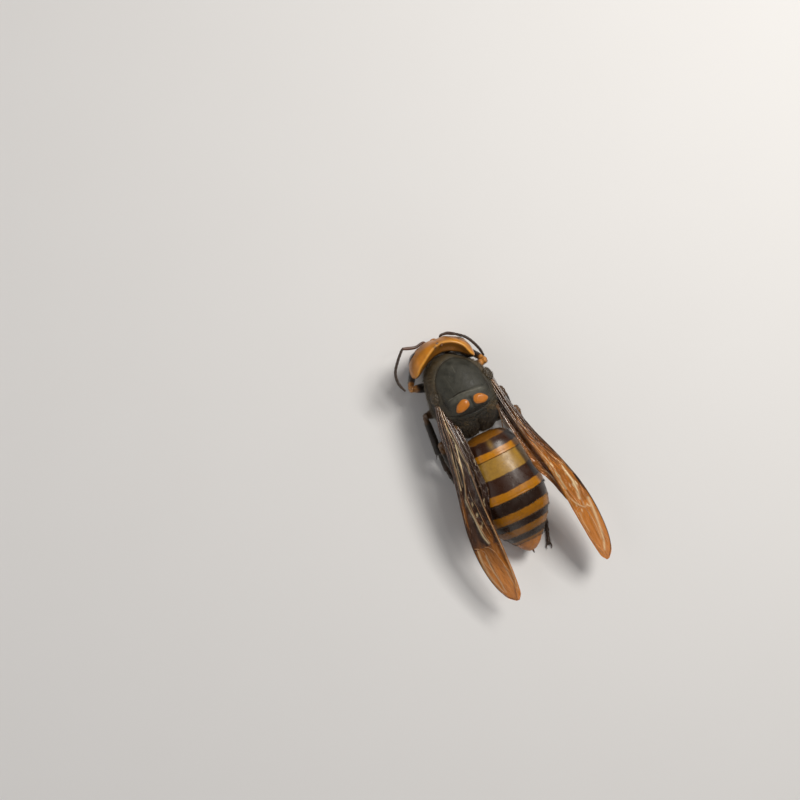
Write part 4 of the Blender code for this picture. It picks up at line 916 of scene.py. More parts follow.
def membrane_material():
    """Thin clear chitin, crumpled like cellophane: smoky brown at the root and amber at the tip."""
    material, tree, place, shader = new_material("amber_wing_membrane")
    streaks = add_node(tree, "Mapping", {"Vector": place, "Scale": (2.2, 0.4, 2.2)})
    wrinkles = {"Vector": streaks.outputs[0], "Scale": 1.0, "Detail": 5.0, "Roughness": 0.6}
    wrinkles = add_node(tree, "TexNoise", wrinkles)
    dark = colours().wing_dark
    base = painted(tree, dark, ("tone", colours().wing_amber))
    base = clouded(tree, base, dark, wrinkles.outputs["Fac"], 0.4, 0.7, 0.22)
    # Painted glints along the crests and on the crushed membrane.
    base = painted(tree, base, ("light", colours().wing_tip), ("gold", colours().wing_painted_glint))
    facets = {"Vector": streaks.outputs[0], "Scale": 0.8, "Randomness": 1.0}
    facets = add_node(tree, "TexVoronoi", facets)
    fine = add_node(tree, "TexNoise", {"Vector": place, "Scale": 7.0, "Detail": 4.0})
    first = {"Height": wrinkles.outputs["Fac"], "Distance": 0.5 * MM, "Strength": 0.8}
    first = add_node(tree, "Bump", first)
    second = add_node(tree, "Bump", {
        "Height": facets.outputs["Distance"], "Distance": 0.22 * MM, "Strength": 0.8,
        "Normal": first.outputs["Normal"],
    })
    bump = add_node(tree, "Bump", {
        "Height": fine.outputs["Fac"], "Distance": 0.03 * MM, "Strength": 0.5,
        "Normal": second.outputs["Normal"],
    })
    fill(tree, shader.inputs, {
        "Base Color": base, "Normal": bump.outputs["Normal"], "Roughness": 0.2, "Metallic": 0.2,
        "Coat Weight": 0.6, "Coat Roughness": 0.08, "Alpha": 0.88,
    })
    return material


def hair_material():
    """Chitin hair, soft and a little shiny: dark roots and pale golden ends."""
    material, tree, _, shader = new_material("body_hair")
    base = painted(tree, colours().hair_dark, ("tint", colours().hair_pale))
    fill(tree, shader.inputs, {"Base Color": base, "Roughness": 0.5, "Sheen Weight": 0.2})
    return material


def floor_material():
    """Matt painted board: an even pale floor with the faintest mottle."""
    material, tree, place, shader = new_material("pale_painted_board")
    mottle = add_node(tree, "TexNoise", {"Vector": place, "Scale": 0.05, "Detail": 4.0})
    base = clouded(tree, colours().floor, FLOOR_MOTTLE, mottle.outputs["Fac"], 0.0, 1.0, 0.06)
    fill(tree, shader.inputs, {"Base Color": base, "Roughness": 0.7})
    return material


# ---- head ----


def head_placing():
    pivot = Matrix.Translation((0.0, HEAD_PIVOT_Y, 0.0))
    turn = Matrix.Rotation(math.radians(HEAD_TURN), 4, "Z")
    return Matrix.Translation((HEAD_SHIFT, 0.0, 0.0)) @ pivot @ turn @ pivot.inverted()


def on_head(point):
    return tuple(head_placing() @ Vector(point))


def place_on_head(obj):
    """Turns and moves a piece that was modelled round the unturned head."""
    obj.data.transform(head_placing())
    return obj


def head_point(z, bearing, grow=0.0):
    """Points of the head's outline: bearing 0 is its left, 90 degrees its face."""
    half_width, front, back = smooth(HEAD, z)
    widest = front + (back - front) * HEAD_WIDEST
    depth = np.where(np.sin(bearing) > 0, widest - front, back - widest) + grow
    across, ahead = oval(bearing, half_width + grow, depth, HEAD_POWER)
    return np.stack([across, widest - ahead, z + 0 * across], -1)


def head_body(grow=0.0):
    z = np.linspace(HEAD[0][0], HEAD[-1][0], 110)
    rings = head_point(z[:, None], bearings(200)[None, :], grow)
    middle = [(row[2] + row[3]) / 2 for row in (HEAD[0], HEAD[-1])]
    tips = [(0.0, middle[0], HEAD[0][0] - 0.2), (0.0, middle[1], HEAD[-1][0] + 0.1)]
    return loft("head", rings, tips)


def occiput_hollow():
    """The space behind the head, whose front slopes forwards from the neck up to the ridge."""
    x = np.linspace(-6.5, 6.5, 90)
    edges = [smooth(OCCIPUT_EDGE, x)[0]] * 2 + [smooth(HEAD_RIDGE, x.clip(-6.1, 5.6))[0]] * 2
    edges[3] = edges[3] - OCCIPUT_LEAN
    rings = []
    for z, edge in zip(OCCIPUT_HEIGHTS, edges):
        front = np.column_stack([x, edge, 0 * x + z])
        back = np.column_stack([x[::-1], 0 * x + OCCIPUT_REAR, 0 * x + z])
        rings.append(np.concatenate([front, back]))
    tips = [(0.0, HEAD_PIVOT_Y, z) for z in (OCCIPUT_HEIGHTS[0], OCCIPUT_HEIGHTS[-1])]
    return loft("occiput", rings, tips)


def eye_edge(turn):
    """The eye's outline: across towards the face and up, with a notch in its inner edge."""
    notch = 1 - EYE_NOTCH * near(turn, EYE_NOTCH_BEARING, EYE_NOTCH_REACH) * (np.cos(turn) > 0)
    return np.cos(turn) * notch * (0.9 + 0.1 * np.sin(turn)), np.sin(turn)


def eye_body(name, side, rows=64, columns=96):
    """A low dome that follows the head's surface inside the eye's outline."""
    polar = np.linspace(0.0, math.pi, rows + 2)[1:-1]
    across, up = eye_edge((bearings(columns) + math.pi) % (2 * math.pi) - math.pi)
    rings = []
    for angle in polar:
        reach = math.sin(angle) ** 0.9
        height = EYE_DOME * math.cos(angle) if angle < math.pi / 2 else EYE_DEPTH * math.cos(angle)
        z = EYE_MIDDLE_Z + EYE_HALF_HEIGHT * reach * up
        half_width = smooth(HEAD, z)[0]
        turn = EYE_BEARING + EYE_BEND * (reach * up) ** 2
        bearing = np.radians(turn) + EYE_HALF_WIDTH * reach * across / half_width
        rings.append(head_point(z, bearing, height) * (side, 1, 1))
    return loft(name, rings, [rings[0].mean(axis=0), rings[-1].mean(axis=0)])


def eye_reach(places):
    """How far places on the head lie from the middle of the eye: 1 on its outline."""
    x, y, z = places.T
    half_width, front, back = smooth(HEAD, z.clip(HEAD[0][0], HEAD[-1][0]))
    widest = front + (back - front) * HEAD_WIDEST
    across = (np.abs(x) / half_width).clip(0, 1) ** (HEAD_POWER / 2)
    ahead = ((widest - y) / (widest - front)).clip(0, 1.2) ** (HEAD_POWER / 2)
    up = (z - EYE_MIDDLE_Z) / EYE_HALF_HEIGHT
    bearing = np.arctan2(ahead, across) - np.radians(EYE_BEARING + EYE_BEND * up**2)
    inward = bearing * half_width / EYE_HALF_WIDTH
    edge = np.hypot(*eye_edge(np.arctan2(up, inward)))
    return np.hypot(inward, up) / edge + 2.0 * (y > -8.6)


def antenna_socket(side):
    x, y, z = SCAPE_ROOT
    bpy.ops.mesh.primitive_torus_add(
        location=(side * x, y - 0.28, z), rotation=(math.radians(84), 0.0, math.radians(14 * side)),
        major_radius=SOCKET_RADII[0], minor_radius=SOCKET_RADII[1],
        major_segments=40, minor_segments=16,
    )
    bpy.ops.object.transform_apply(location=True, rotation=True, scale=True)
    return bpy.context.object


def behind_ridge(places):
    """How far places lie behind the head's ridge, or in front of it if below 0."""
    x, y = np.array(HEAD_RIDGE).T
    away = line_distance(places, HEAD_RIDGE)
    return away * np.sign(places[:, 1] - np.interp(places[:, 0], x, y))


def head_relief(places, directions):
    """Grooves and swellings of the unturned head."""
    x, _, z = places.T
    facing = rise(-directions[:, 1], 0.2, 0.5)
    frontal = -0.1 * near(x, 0.0, 0.14) * rise(z, 8.9, 9.3) * facing
    centre, half_sizes, _ = CLYPEUS
    clypeus = np.hypot(x / (half_sizes[0] + 0.1), (z - centre[2]) / (half_sizes[2] + 0.1))
    seam = -0.13 * near(clypeus, 1.0, 0.045) * facing * rise(z, 3.2, 3.8)
    eye = eye_reach(places)
    orbit = 0.05 * near(eye, 1.16, 0.07) - 0.14 * rise(-eye, -1.07, -0.99)
    side = np.abs(x)
    brow = 0.12 * near(side, 1.9, 0.9) * near(z, 9.6, 0.9) * facing
    cheek = -0.08 * near(side, 4.0, 0.25) * rise(-z, -4.6, -3.6) * facing
    vertex = -0.05 * near(x, 0.0, 0.3) * rise(z, 11.6, 12.1)
    behind = behind_ridge(places)
    ridge = rise(z, *CROWN) * (0.09 * near(behind, 0.0, 0.35) - 0.08 * near(behind, 0.9, 0.4))
    return frontal + seam + orbit + brow + cheek + vertex + ridge + 0.02 * waves(places, 2.3, 3)


def make_head():
    head = combine(head_body(), "DIFFERENCE", occiput_hollow())
    soften(head, sizes().voxel * 1.2 / MM, 22)
    face = [ball("clypeus", CLYPEUS[0], CLYPEUS[1], CLYPEUS[2], columns=72, rows=40),
            ball("frontal_shield", *FRONTAL_SHIELD)]
    centre, half_sizes = CLYPEUS_LOBE
    for _, side in SIDES:
        face.append(ball("clypeus_lobe", (side * centre[0], *centre[1:]), half_sizes))
        face.append(antenna_socket(side))
    combine(head, "UNION", *face)
    x, y, z = SCAPE_ROOT
    pits = [ball("pit", (side * x, y - 0.34, z + 0.05), SOCKET_PIT) for _, side in SIDES]
    combine(head, "DIFFERENCE", *pits)
    soften(head, sizes().voxel / MM, 4)
    sculpt(head, head_relief)
    places = coordinates(head)
    x, y, z = places.T
    behind = behind_ridge(places)
    above = rise(z, *CROWN)
    # Painted shade darkens the tone on the slope behind the ridge, at the front edge, on the sides of
    # the crown and low on the face; the ridge mark is a painted highlight.
    slope = rise(behind, 0.02, 0.3) * above
    temples = above * rise(-behind, 0.7, 1.8) * rise(np.abs(x), 1.0, 3.5)
    shaded = 0.9 * slope + 0.3 * rise(-y, 12.2, 12.9) + 0.45 * temples + 0.1 * rise(-z, -6.0, -3.5)
    mottle = 0.12 * waves(places, 2.6, 4)
    mark(head, "tone", 1.0 - shaded + mottle)
    mark(head, "ridge", above * (0.8 + mottle) * near(behind, -0.1, 0.2))
    near_ocelli = np.min([np.linalg.norm(places - spot, axis=1) for spot in OCELLI], axis=0)
    # The dark mark also holds a painted shadow in the gap between the head and the collar.
    inner = np.interp(x, *np.array(OCCIPUT_EDGE).T)
    inside = 0.9 * rise(y, inner - 0.3, inner - 0.02)
    eye = eye_reach(places)
    rim = 0.55 * near(eye, 1.02, 0.05)
    mark(head, "dark", 0.5 * near(near_ocelli.clip(0.25), 0.25, 0.14) + inside + rim)
    place_on_head(head)
    finish_piece(head, head_material(), "head_shell", "head")
    material = plain_chitin("ocellus_lens", colours().spot, colours().tooth, "tone", 0.12, 0.0, 0.8)
    lenses = [ball("ocellus", spot, (OCELLUS_RADIUS,) * 3, columns=24, rows=16) for spot in OCELLI]
    lenses = place_on_head(join("ocelli", lenses))
    mark(lenses, "tone", 0.8)
    finish_piece(lenses, material, "eye_lens")


def make_eyes():
    material = eye_material()
    for name, side in SIDES:
        eye = place_on_head(eye_body(f"eye_{name}", side))
        finish_piece(eye, material, "eye_lens", f"eye_{name}")


def make_mandibles():
    horn = ("horny_jaw_chitin", colours().head, colours().tooth)
    material = plain_chitin(*horn, "dark", 0.3, 0.015, 0.3)
    for name, side in SIDES:
        flip = (side, 1, 1)
        shares = np.linspace(0, 1, 24)
        path = path_points(np.array(MANDIBLE_PATH) * flip, shares)
        radii = smooth(np.column_stack([(0, 0.35, 0.7, 1.0), MANDIBLE_RADII]), shares)[0]
        jaw = limb(f"mandible_{name}", path, radii, 28)
        teeth = []
        for x, y, z in TEETH:
            start = np.array((x + 0.4, y, z)) * flip
            end = np.array((x + 0.05 - TOOTH_REACH, y - 0.05, z - 0.08)) * flip
            line = start + np.outer(np.linspace(0, 1, len(TOOTH_RADII)), end - start)
            teeth.append(limb("tooth", line, TOOTH_RADII, 14))
        combine(jaw, "UNION", *teeth)
        soften(jaw, 0.06, 3)
        across = coordinates(jaw)[:, 0] * side
        mark(jaw, "dark", rise(-across, -1.5, -0.9))
        sculpt(jaw, lambda at, _: 0.02 * waves(at, 0.9, 5))
        finish_piece(place_on_head(jaw), material, "jaw", f"mandible_{name}")
    palps = []
    for _, side in SIDES:
        for reach, spread in PALPS:
            points = (
                (side * spread, -11.2, 3.0), (side * (spread + 0.3), -11.6, 1.9),
                (side * (spread + 0.1), -11.6 + reach * 0.3, 1.1),
                (side * spread, -11.2 + reach * 0.6, 0.9),
            )
            shares = np.linspace(0, 1, 40)
            radii = 0.15 + 0.03 * np.cos(shares * 2 * math.pi * PALP_JOINTS)
            palps.append(limb("palp", path_points(points, shares), radii, 10))
    palps = place_on_head(join("palps", palps))
    mark(palps, "dark", 0.55)
    finish_piece(palps, material, "jaw")


def make_antennae():
    scape_material = plain_chitin(
        "red_brown_scape_chitin", colours().scape, colours().flagellum, "dark", 0.35, 0.01, 0.2
    )
    joint_material = plain_chitin(
        "velvet_antenna_chitin", colours().flagellum, colours().scape, "dark", 0.55, 0.01, 0.0
    )
    for name, side in SIDES:
        x, y, z = SCAPE_ROOT
        root = on_head((side * x, y - SCAPE_START, z))
        bend = on_head((side * (x + SCAPE_BEND[0]), y - SCAPE_BEND[1], z))
        shares = np.linspace(0.0, 1.0, 50)
        path = path_points((root, bend, *SCAPES[name]), shares)
        scape = limb(f"antenna_scape_{name}", path, smooth(SCAPE_PROFILE, shares)[0], 24)
        mark(scape, "dark", 0.5 + 0.5 * waves(coordinates(scape), 3.0, 7))
        finish_piece(scape, scape_material, "scape_shell", f"antenna_scape_{name}")
        shares = np.linspace(0.0, 1.0, FLAGELLUM_JOINTS * 16 + 1)
        within = (shares * FLAGELLUM_JOINTS) % 1.0
        neck = 1 - 0.18 * near(np.minimum(within, 1 - within), 0.0, 0.045)
        swell = 0.92 + 0.16 * within
        taper = 1.0 - 0.3 * rise(shares, 0.8, 1.0) - 0.15 * rise(-shares, -0.1, 0.0)
        radii = FLAGELLUM_RADIUS * neck * swell * taper
        path = path_points((SCAPES[name][-1], *FLAGELLA[name]), shares)
        flagellum = limb(f"antenna_flagellum_{name}", path, radii, 24)
        mark(flagellum, "dark", 0.6 * rise(-normals(flagellum)[:, 2], 0.0, 0.8))
        finish_piece(flagellum, joint_material, "feeler_shell", f"antenna_flagellum_{name}")


# ---- thorax ----


def thorax_body(name, start, end, grow=0.0):
    """The thorax from one y to another, closed flat where it is cut short."""
    y = np.linspace(start, end, max(int((end - start) / 0.16), 8))
    half_width, top, bottom, shift = smooth(THORAX, y)[:, :, None]
    middle, half_height = (top + bottom) / 2, (top - bottom) / 2
    x, z = oval(bearings(200)[None, :], half_width + grow, half_height + grow, THORAX_POWER)
    rings = np.stack([shift + x, y[:, None] + 0 * x, middle + z], -1)
    tips = [(shift[0, 0], y[0] - (0.25 + grow if start == THORAX[0][0] else 0.0), middle[0, 0]),
            (shift[-1, 0], y[-1] + (0.1 + grow if end == THORAX[-1][0] else 0.0), middle[-1, 0])]
    return loft(name, rings, tips)


def box(low, high):
    centre = [(a + b) / 2 for a, b in zip(low, high)]
    bpy.ops.mesh.primitive_cube_add(size=1.0, location=centre)
    space = bpy.context.object
    space.scale = [b - a for a, b in zip(low, high)]
    bpy.ops.object.transform_apply(location=True, rotation=True, scale=True)
    return space


def propodeum_space(grow):
    return box((-THORAX_REACH, MESOTHORAX_REAR - grow, 0.0), (THORAX_REACH, THORAX_REACH, ABOVE_THORAX))


def collar_space(grow):
    """The space of the pronotum: a collar in front of the scutum and beside it."""
    space = box((-THORAX_REACH, -13.0, PRONOTUM_LOWER_EDGE - grow),
                (THORAX_REACH, PRONOTUM_REAR + grow, ABOVE_THORAX))
    scutum = prism("scutum", SCUTUM_CENTRE, [size - grow for size in SCUTUM_HALF_SIZES],
                   0.0, ABOVE_THORAX + 2.0, 2.0)
    core = thorax_body("core", THORAX[0][0] + 0.4, PRONOTUM_REAR + 3.0, -PRONOTUM_DEPTH - grow)
    return combine(space, "DIFFERENCE", scutum, core)


def scutellum_space(grow):
    half_sizes = [size + grow for size in SCUTELLUM_HALF_SIZES]
    return prism("scutellum", SCUTELLUM_CENTRE, half_sizes, SCUTELLUM_FLOOR - grow,
                 ABOVE_THORAX + 2.0, SCUTELLUM_POWER)


def scutum_reach(places):
    """1 on the oval border between the scutum and the collar, and the share in front of its wings."""
    reach = np.hypot(*((places[:, :2] - SCUTUM_CENTRE) / SCUTUM_HALF_SIZES).T)
    return reach, rise(-places[:, 1], 3.4, 4.4)


def scutellum_reach(places):
    """1 on the outline of the scutellum, and less inside it."""
    away = np.abs((places[:, :2] - SCUTELLUM_CENTRE) / SCUTELLUM_HALF_SIZES)
    return (away**SCUTELLUM_POWER).sum(axis=1) ** (1 / SCUTELLUM_POWER)


def streak_span(y):
    """1 along the raised streak on the front of the scutum, painted pale as a highlight, and 0 before
    and behind it.
    """
    return rise(-y, 6.0, 6.3) * rise(y, -7.7, -7.3)


def thorax_relief(places, directions):
    """Sutures, ridges and lumps of the collar, the back and the flanks."""
    x, y, z = places.T
    top = rise(directions[:, 2], 0.2, 0.6)
    reach, ahead = scutum_reach(places)
    border = -0.05 * near(reach, 1.0, 0.018) + 0.05 * near(reach, 1.07, 0.04)
    total = border * ahead * top
    collar_edge = rise(np.abs(x), 4.4, 4.9) * (z > PRONOTUM_LOWER_EDGE)
    total += -0.12 * near(y, PRONOTUM_REAR, 0.13) * collar_edge
    total += 0.04 * near(x, STREAK_X, 0.09) * streak_span(y) * top
    mirrored = np.column_stack([np.abs(x), y, z])
    for path, width, depth in BACK_FURROWS:
        total += groove(mirrored, directions, path, width, depth)
    for cx, cy in GLINTS:
        total += 0.05 * near(np.hypot(x - cx, y - cy), 0.0, 0.12) * top
    total += groove(places, directions, SCUTELLUM_SUTURE, 0.055, 0.09)
    total += groove(places, directions, SCUTELLUM_REAR, 0.14, 0.2)
    plate = scutellum_reach(places)
    raised = SCUTELLUM_RAISE * (1 - rise(plate, 0.75, 1.08)) * rise(z, 11.0, 12.0)
    lumps = 0.3 * (1 - rise(spot_reach(places), 0.55, 1.15))
    middle = -0.16 * near(x, 0.0, 0.28) * rise(y, -1.3, -0.6)
    total += top * (raised + lumps + middle * (plate < 1) - 0.2 * rise(y, 1.1, 1.8))
    shoulder = np.hypot((np.abs(x) - SHOULDER[0]) / 1.3, (y - SHOULDER[1]) / 1.5)
    folds = 0.05 * np.sin((1.3 * y + 0.7 * np.abs(x)) * 2 * math.pi) * (1 - rise(shoulder, 0.6, 1.4))
    total += (0.28 * near(shoulder, 0.0, 1.0) + folds) * rise(z, 7.5, 8.5) * (reach > 1.02)
    for path, width, depth in FLANK_FURROWS:
        total += groove(places, directions, path, width, depth, FROM_THE_SIDE)
    bulge = near(y, -1.3, 1.6) * near(z, 6.0, 1.5) * rise(np.abs(directions[:, 0]), 0.3, 0.7)
    return total + 0.22 * bulge + 0.025 * waves(places, 2.1, 11) + 0.012 * waves(places, 0.8, 12)


def thorax_marks(obj):
    """Stores where the thorax is olive, pale, black or spotted."""
    places = coordinates(obj)
    x, y, z = places.T
    reach, ahead = scutum_reach(places)
    uneven = waves(places, 1.7, 22)
    plate = scutellum_reach(places)
    on_plate = (1 - rise(plate, 0.8, 1.0)) * rise(z, 10.5, 11.5)
    collar = rise(reach + 0.03 * uneven, 0.95, 1.1) * ahead
    shoulders = rise(np.abs(x), 4.0, 4.8) * rise(z, 9.5, 10.5)
    mark(obj, "olive", collar * (0.9 + 0.25 * uneven) + 0.35 * shoulders)
    on_top = rise(z, 11.0, 12.0)
    rim = 0.35 * near(reach, 1.09, 0.05) * ahead * (0.7 + 0.5 * uneven)
    front_zone = 0.45 * on_plate * rise(-y, 0.6, 1.5)
    # Painted highlights: the line behind the suture, the streak and the ridge of the metanotum are made
    # pale as if they caught the light.
    line = 0.75 * near(line_distance(places, SCUTELLUM_LINE), 0.0, 0.09) * on_top
    streak = 0.6 * near(x, STREAK_X, 0.08) * streak_span(y)
    metanotum = 0.6 * near(y + 0.06 * x * x, 2.45, 0.12) * (np.abs(x) < 3.4) * (z > 9)
    pale = rim + front_zone + line + streak + metanotum
    mark(obj, "pale", pale * (0.8 + 0.3 * waves(places, 0.9, 23)))
    suture = 0.95 * near(line_distance(places, SCUTELLUM_SUTURE), 0.0, 0.09) * on_top
    border = 0.6 * near(reach, 1.0, 0.02) * ahead
    flank = 0.7 * rise(-z, -10.0, -8.5)
    rear = 0.8 * rise(y - 0.05 * x * x, 0.35, 1.2)
    root = 0.8 * near(np.hypot(np.abs(x) - 4.5, (y + 1.6) / 2.2), 0.0, 0.5)
    mark(obj, "dark", suture + border + flank + rear + root)
    mark(obj, "spot", (1 - rise(spot_reach(places), 0.93, 1.06)) * on_top)


def propodeum_relief(places, directions):
    """The rear of the thorax: zero in front of the metanotum."""
    x, y, z = places.T
    metanotum = groove(places, directions, ((-4.6, 2.4), (0.0, 3.1), (4.6, 2.4)), 0.2, 0.2)
    furrow = -0.3 * near(x, 0.0, 0.45) * rise(y, 3.3, 4.0)
    swell = 0.18 * near(np.abs(x), 2.2, 1.3) * rise(y, 3.4, 4.2) * (z > 6.0)
    path = ((3.3, 3.5), (3.4, 6.0), (3.1, 9.0))
    flank = groove(places, directions, path, 0.15, 0.14, FROM_THE_SIDE)
    return (metanotum + furrow + swell + flank + 0.04 * waves(places, 1.3, 14)) * rise(y, 2.0, 2.6)


def spot_reach(places):
    """How far places lie from the middle of the nearer spot: 1 on its uneven edge."""
    x, y = places[:, 0], places[:, 1]
    nearest = np.full(len(places), 9.0)
    for cx, cy, tilt in SPOTS:
        turn = math.radians(tilt)
        across = (x - cx) * math.cos(turn) + (y - cy) * math.sin(turn)
        along = (y - cy) * math.cos(turn) - (x - cx) * math.sin(turn)
        inward = -across * math.copysign(1.0, cx) / SPOT_HALF_SIZES[0]
        half_height = SPOT_HALF_SIZES[1] * (1 + 0.22 * inward.clip(-1, 1))
        reach = np.hypot(across / SPOT_HALF_SIZES[0], along / half_height)
        nearest = np.minimum(nearest, reach + 0.09 * waves(places, 1.1, 21))
    return nearest


def sharpen(obj):
    """Keeps the cut edges of a finished plate sharp."""
    select_only(obj)
    bpy.ops.object.shade_smooth_by_angle(angle=math.radians(50))


def make_thorax():
    """The collar, the back and the scutellum, cut from one body so that they lie flush."""
    material = thorax_material()
    whole = thorax_body("mesothorax", THORAX[0][0], THORAX[-1][0])
    soften(whole, sizes().voxel / MM)
    sculpt(whole, lambda *at: thorax_relief(*at) + propodeum_relief(*at))
    spaces = (
        ("pronotum", "collar_shell", collar_space), ("scutellum", "scutellum_shell", scutellum_space),
        ("propodeum", "thorax_shell", propodeum_space),
    )
    plates = [("mesothorax", "thorax_shell", whole)]
    for name, slot, space in spaces:
        plate = whole.copy()
        plate.data = whole.data.copy()
        bpy.context.scene.collection.objects.link(plate)
        plates.append((name, slot, combine(plate, "INTERSECT", space(0.0))))
    combine(whole, "DIFFERENCE", *[space(sizes().suture / MM) for _, _, space in spaces])
    for name, slot, plate in plates:
        thorax_marks(plate)
        sharpen(finish_piece(plate, material, slot, name))

    scale = plain_chitin("tegula_chitin", colours().seam, colours().collar, "tone", 0.5, 0.02, 0.1)
    for name, side in SIDES:
        x, y, z = TEGULA_CENTRE
        centre = (side * x, y, z)
        tegula = ball(f"tegula_{name}", centre, TEGULA_HALF_SIZES, TEGULA_TILT * side, "Y", 96, 64)
        places = coordinates(tegula)
        reach = np.hypot(places[:, 0] - side * (x + 0.2), (places[:, 1] - y) / 1.3)
        rings = np.sin((reach + 0.35 * waves(places, 1.1, 16)) * 2 * math.pi * 2.2)
        # The colour rings follow the creases, lighter on their crests and darker in their grooves, as
        # painted shade.
        mark(tegula, "tone", 0.6 + 0.3 * rings)
        sculpt(tegula, lambda at, _: 0.03 * rings + 0.1 * waves(at, 0.7, 15))
        finish_piece(tegula, scale, "jaw", f"tegula_{name}")


# ---- abdomen ----


def abdomen_rings(y, size, columns=240):
    half_width, half_height, middle, shift = smooth(ABDOMEN, y)[:, :, None]
    turn = bearings(columns)[None, :]
    down = np.degrees(np.arcsin(np.sin(turn)))
    below = rise(-down, -STERNITE_EDGE - 1.5, -STERNITE_EDGE + 1.5)
    width = half_width * (size[:, None] - STERNITE_INSET * below)
    x, z = oval(turn, width, half_height * size[:, None], ABDOMEN_POWER)
    return np.stack([shift + x, y[:, None] + 0 * x, np.maximum(middle + z, 0.0)], -1)


def make_abdomen():
    """Six plates like the rings of a telescope, each with a rolled rear edge."""
    material = abdomen_material()
    last = len(SEGMENT_EDGES) - 1
    for number in range(1, last + 1):
        front, rear = SEGMENT_EDGES[number - 1], SEGMENT_EDGES[number]
        share = np.linspace(0.0, 1.0, max(int((rear - front) / 0.13), 16))
        swell = 1 + SEGMENT_RIM * (2 * share - 1) + 0.006 * np.sin(math.pi * share)
        pressed = 0.006 * near((1 - share) * (rear - front), 0.4, 0.1)
        profile = [(front + (rear - front) * s, size) for s, size in zip(share, swell - pressed)]
        if number > 1:
            profile = [(front + ahead, size) for ahead, size in SEGMENT_FRONT] + profile
        if number < last:
            profile += [(rear + ahead, size) for ahead, size in SEGMENT_ROLL]
        y, size = np.array(profile).T
        rings = abdomen_rings(y, size)
        ends = ((rings[0], y[0] - 0.02), (rings[-1], y[-1] + (0.1 if number == last else 0)))
        tips = [(ring[:, 0].mean(), end, ring[:, 2].mean()) for ring, end in ends]
        plate = loft(f"abdomen_{number}", rings, tips)
        sculpt(plate, lambda at, _: 0.02 * waves(at, 3.1, 30 + number) * (at[:, 2] > 0.1))
        places = coordinates(plate)
        x, y, z = places.T
        # A painted highlight on the middle of the first segment's dark band.
        mark(plate, "smudge", 0.5 * near(x, 0.0, 0.5) * near(y, 8.9, 1.1) * (z > 6))
        # Painted shade deepening towards the tail, where the light falls off.
        mark(plate, "deep", 0.6 * rise(y, 14.0, 27.5) * (number < last))
        # A painted shadow under each plate's rolled rear edge.
        mark(plate, "dark", 0.75 * near(y, rear, 0.07) * (number < last))
        slot = "abdomen_shell" if number < 3 else "abdomen_dark" if number < last else "abdomen_tip"
        finish_piece(plate, material, slot, f"abdomen_{number}")
    end, _, _, middle, shift = ABDOMEN[-1]
    shares = np.linspace(0, 1, 16)
    path = (shift, end - 0.1, middle) + np.outer(shares, STING_REACH)
    sting = limb("sting", path, STING_RADII[0] * (1 - shares) ** 0.7 + STING_RADII[1], 20)
    dark = plain_chitin("sting_chitin", colours().tooth, colours().scape, "tone", 0.2, 0.0, 0.4)
    mark(sting, "tone", rise(-coordinates(sting)[:, 1], -31.4, -30.9))
    finish_piece(sting, dark, "sting_shell", "sting")


# ---- wings ----


def wing_surface(name, side, share, offset, lift):
    """Points of a wing: share runs from root to tip, offset from its axis to the outside."""
    y = WING_ROOT_Y + (WING_TIP_Y[name] - WING_ROOT_Y) * share
    x_root, x_tip = WING_AXES[name]
    roll = math.radians(WING_ROLL)
    lift = lift + WING_CAMBER * (1 - ((offset - CAMBER_MIDDLE) / CAMBER_REACH) ** 2)
    height = smooth(WING_HEIGHTS, y)[0] - offset * math.tan(roll)
    x = x_root + (x_tip - x_root) * share + offset + lift * math.sin(roll)
    return np.stack([side * x, y, height + lift * math.cos(roll)], -1)


def fold_height(share, place, veins):
    """How far the lengthwise folds lift the membrane: highest at the folded veins."""
    total = np.zeros(np.broadcast(share, place).shape)
    for points, _, _, _, height in veins:
        if height:
            along, across = np.array(points).T
            crest = np.interp(share, along, across)
            starts = rise(share, along[0] - 0.05, along[0] + 0.08)
            ends = rise(share, along[-1] - 0.04, along[-1] + 0.06)
            slope = np.exp(-np.abs((place - crest) / FOLD_WIDTH) ** 1.5)
            total = total + height * (starts * (1 - ends)) * slope
    return total


def wing_points(wing, name, side, share, place, lift=0.0):
    """Points on a fore or hind wing: place runs from its inner to its outer edge."""
    if wing == "forewing":
        outline, span, drop, veins = FOREWING, (0.0, 1.0), 0.0, FOREWING_VEINS[name]
    else:
        outline, span, drop, veins = HINDWING, HINDWING_SPAN, HINDWING_DROP, HINDWING_VEINS
    share, place = np.broadcast_arrays(np.asarray(share, float), np.asarray(place, float))
    whole = span[0] + (span[1] - span[0]) * share
    outer, inner = smooth(outline, share)
    outer = outer - np.interp(whole, *np.array(WING_PINCH[name]).T)
    under = rise(-place, 0.0, FOLD_UNDER)
    across = np.where(place < 0, -place * 0.9, place)
    offset = inner + (outer - inner) * across
    lift = lift + fold_height(share, place, veins) - 0.3 * under * rise(share, 0.02, 0.15) - drop
    return wing_surface(name, side, whole, offset, lift)


def wing_waves(share, place, along, across, seed):
    """Seeded waves on a wing, with about so many quarter waves along it and across it."""
    return waves(np.column_stack([share * along, place * across, 0 * share]), 4.0, seed)


def painted_crest_glint(name, share, place):
    """How strongly glints are painted on the crests of the forewing's folds, from 0 to 1, in broken
    streaks.
    """
    length, width = WING_TIP_Y[name] - WING_ROOT_Y, CREST_WIDTH
    flat = np.column_stack([share * length, place * width])
    broken = rise(waves(np.column_stack([share * 40, place * 6, 0 * share]), 3.0, 63), -0.5, 0.1)
    total = np.zeros(len(share))
    for points, bright, half_width in GLINT_CRESTS[name]:
        away = line_distance(flat, np.array(points) * (length, width))
        total = np.maximum(total, bright * near(away, 0.0, half_width))
    return total * (0.6 + 0.4 * broken)


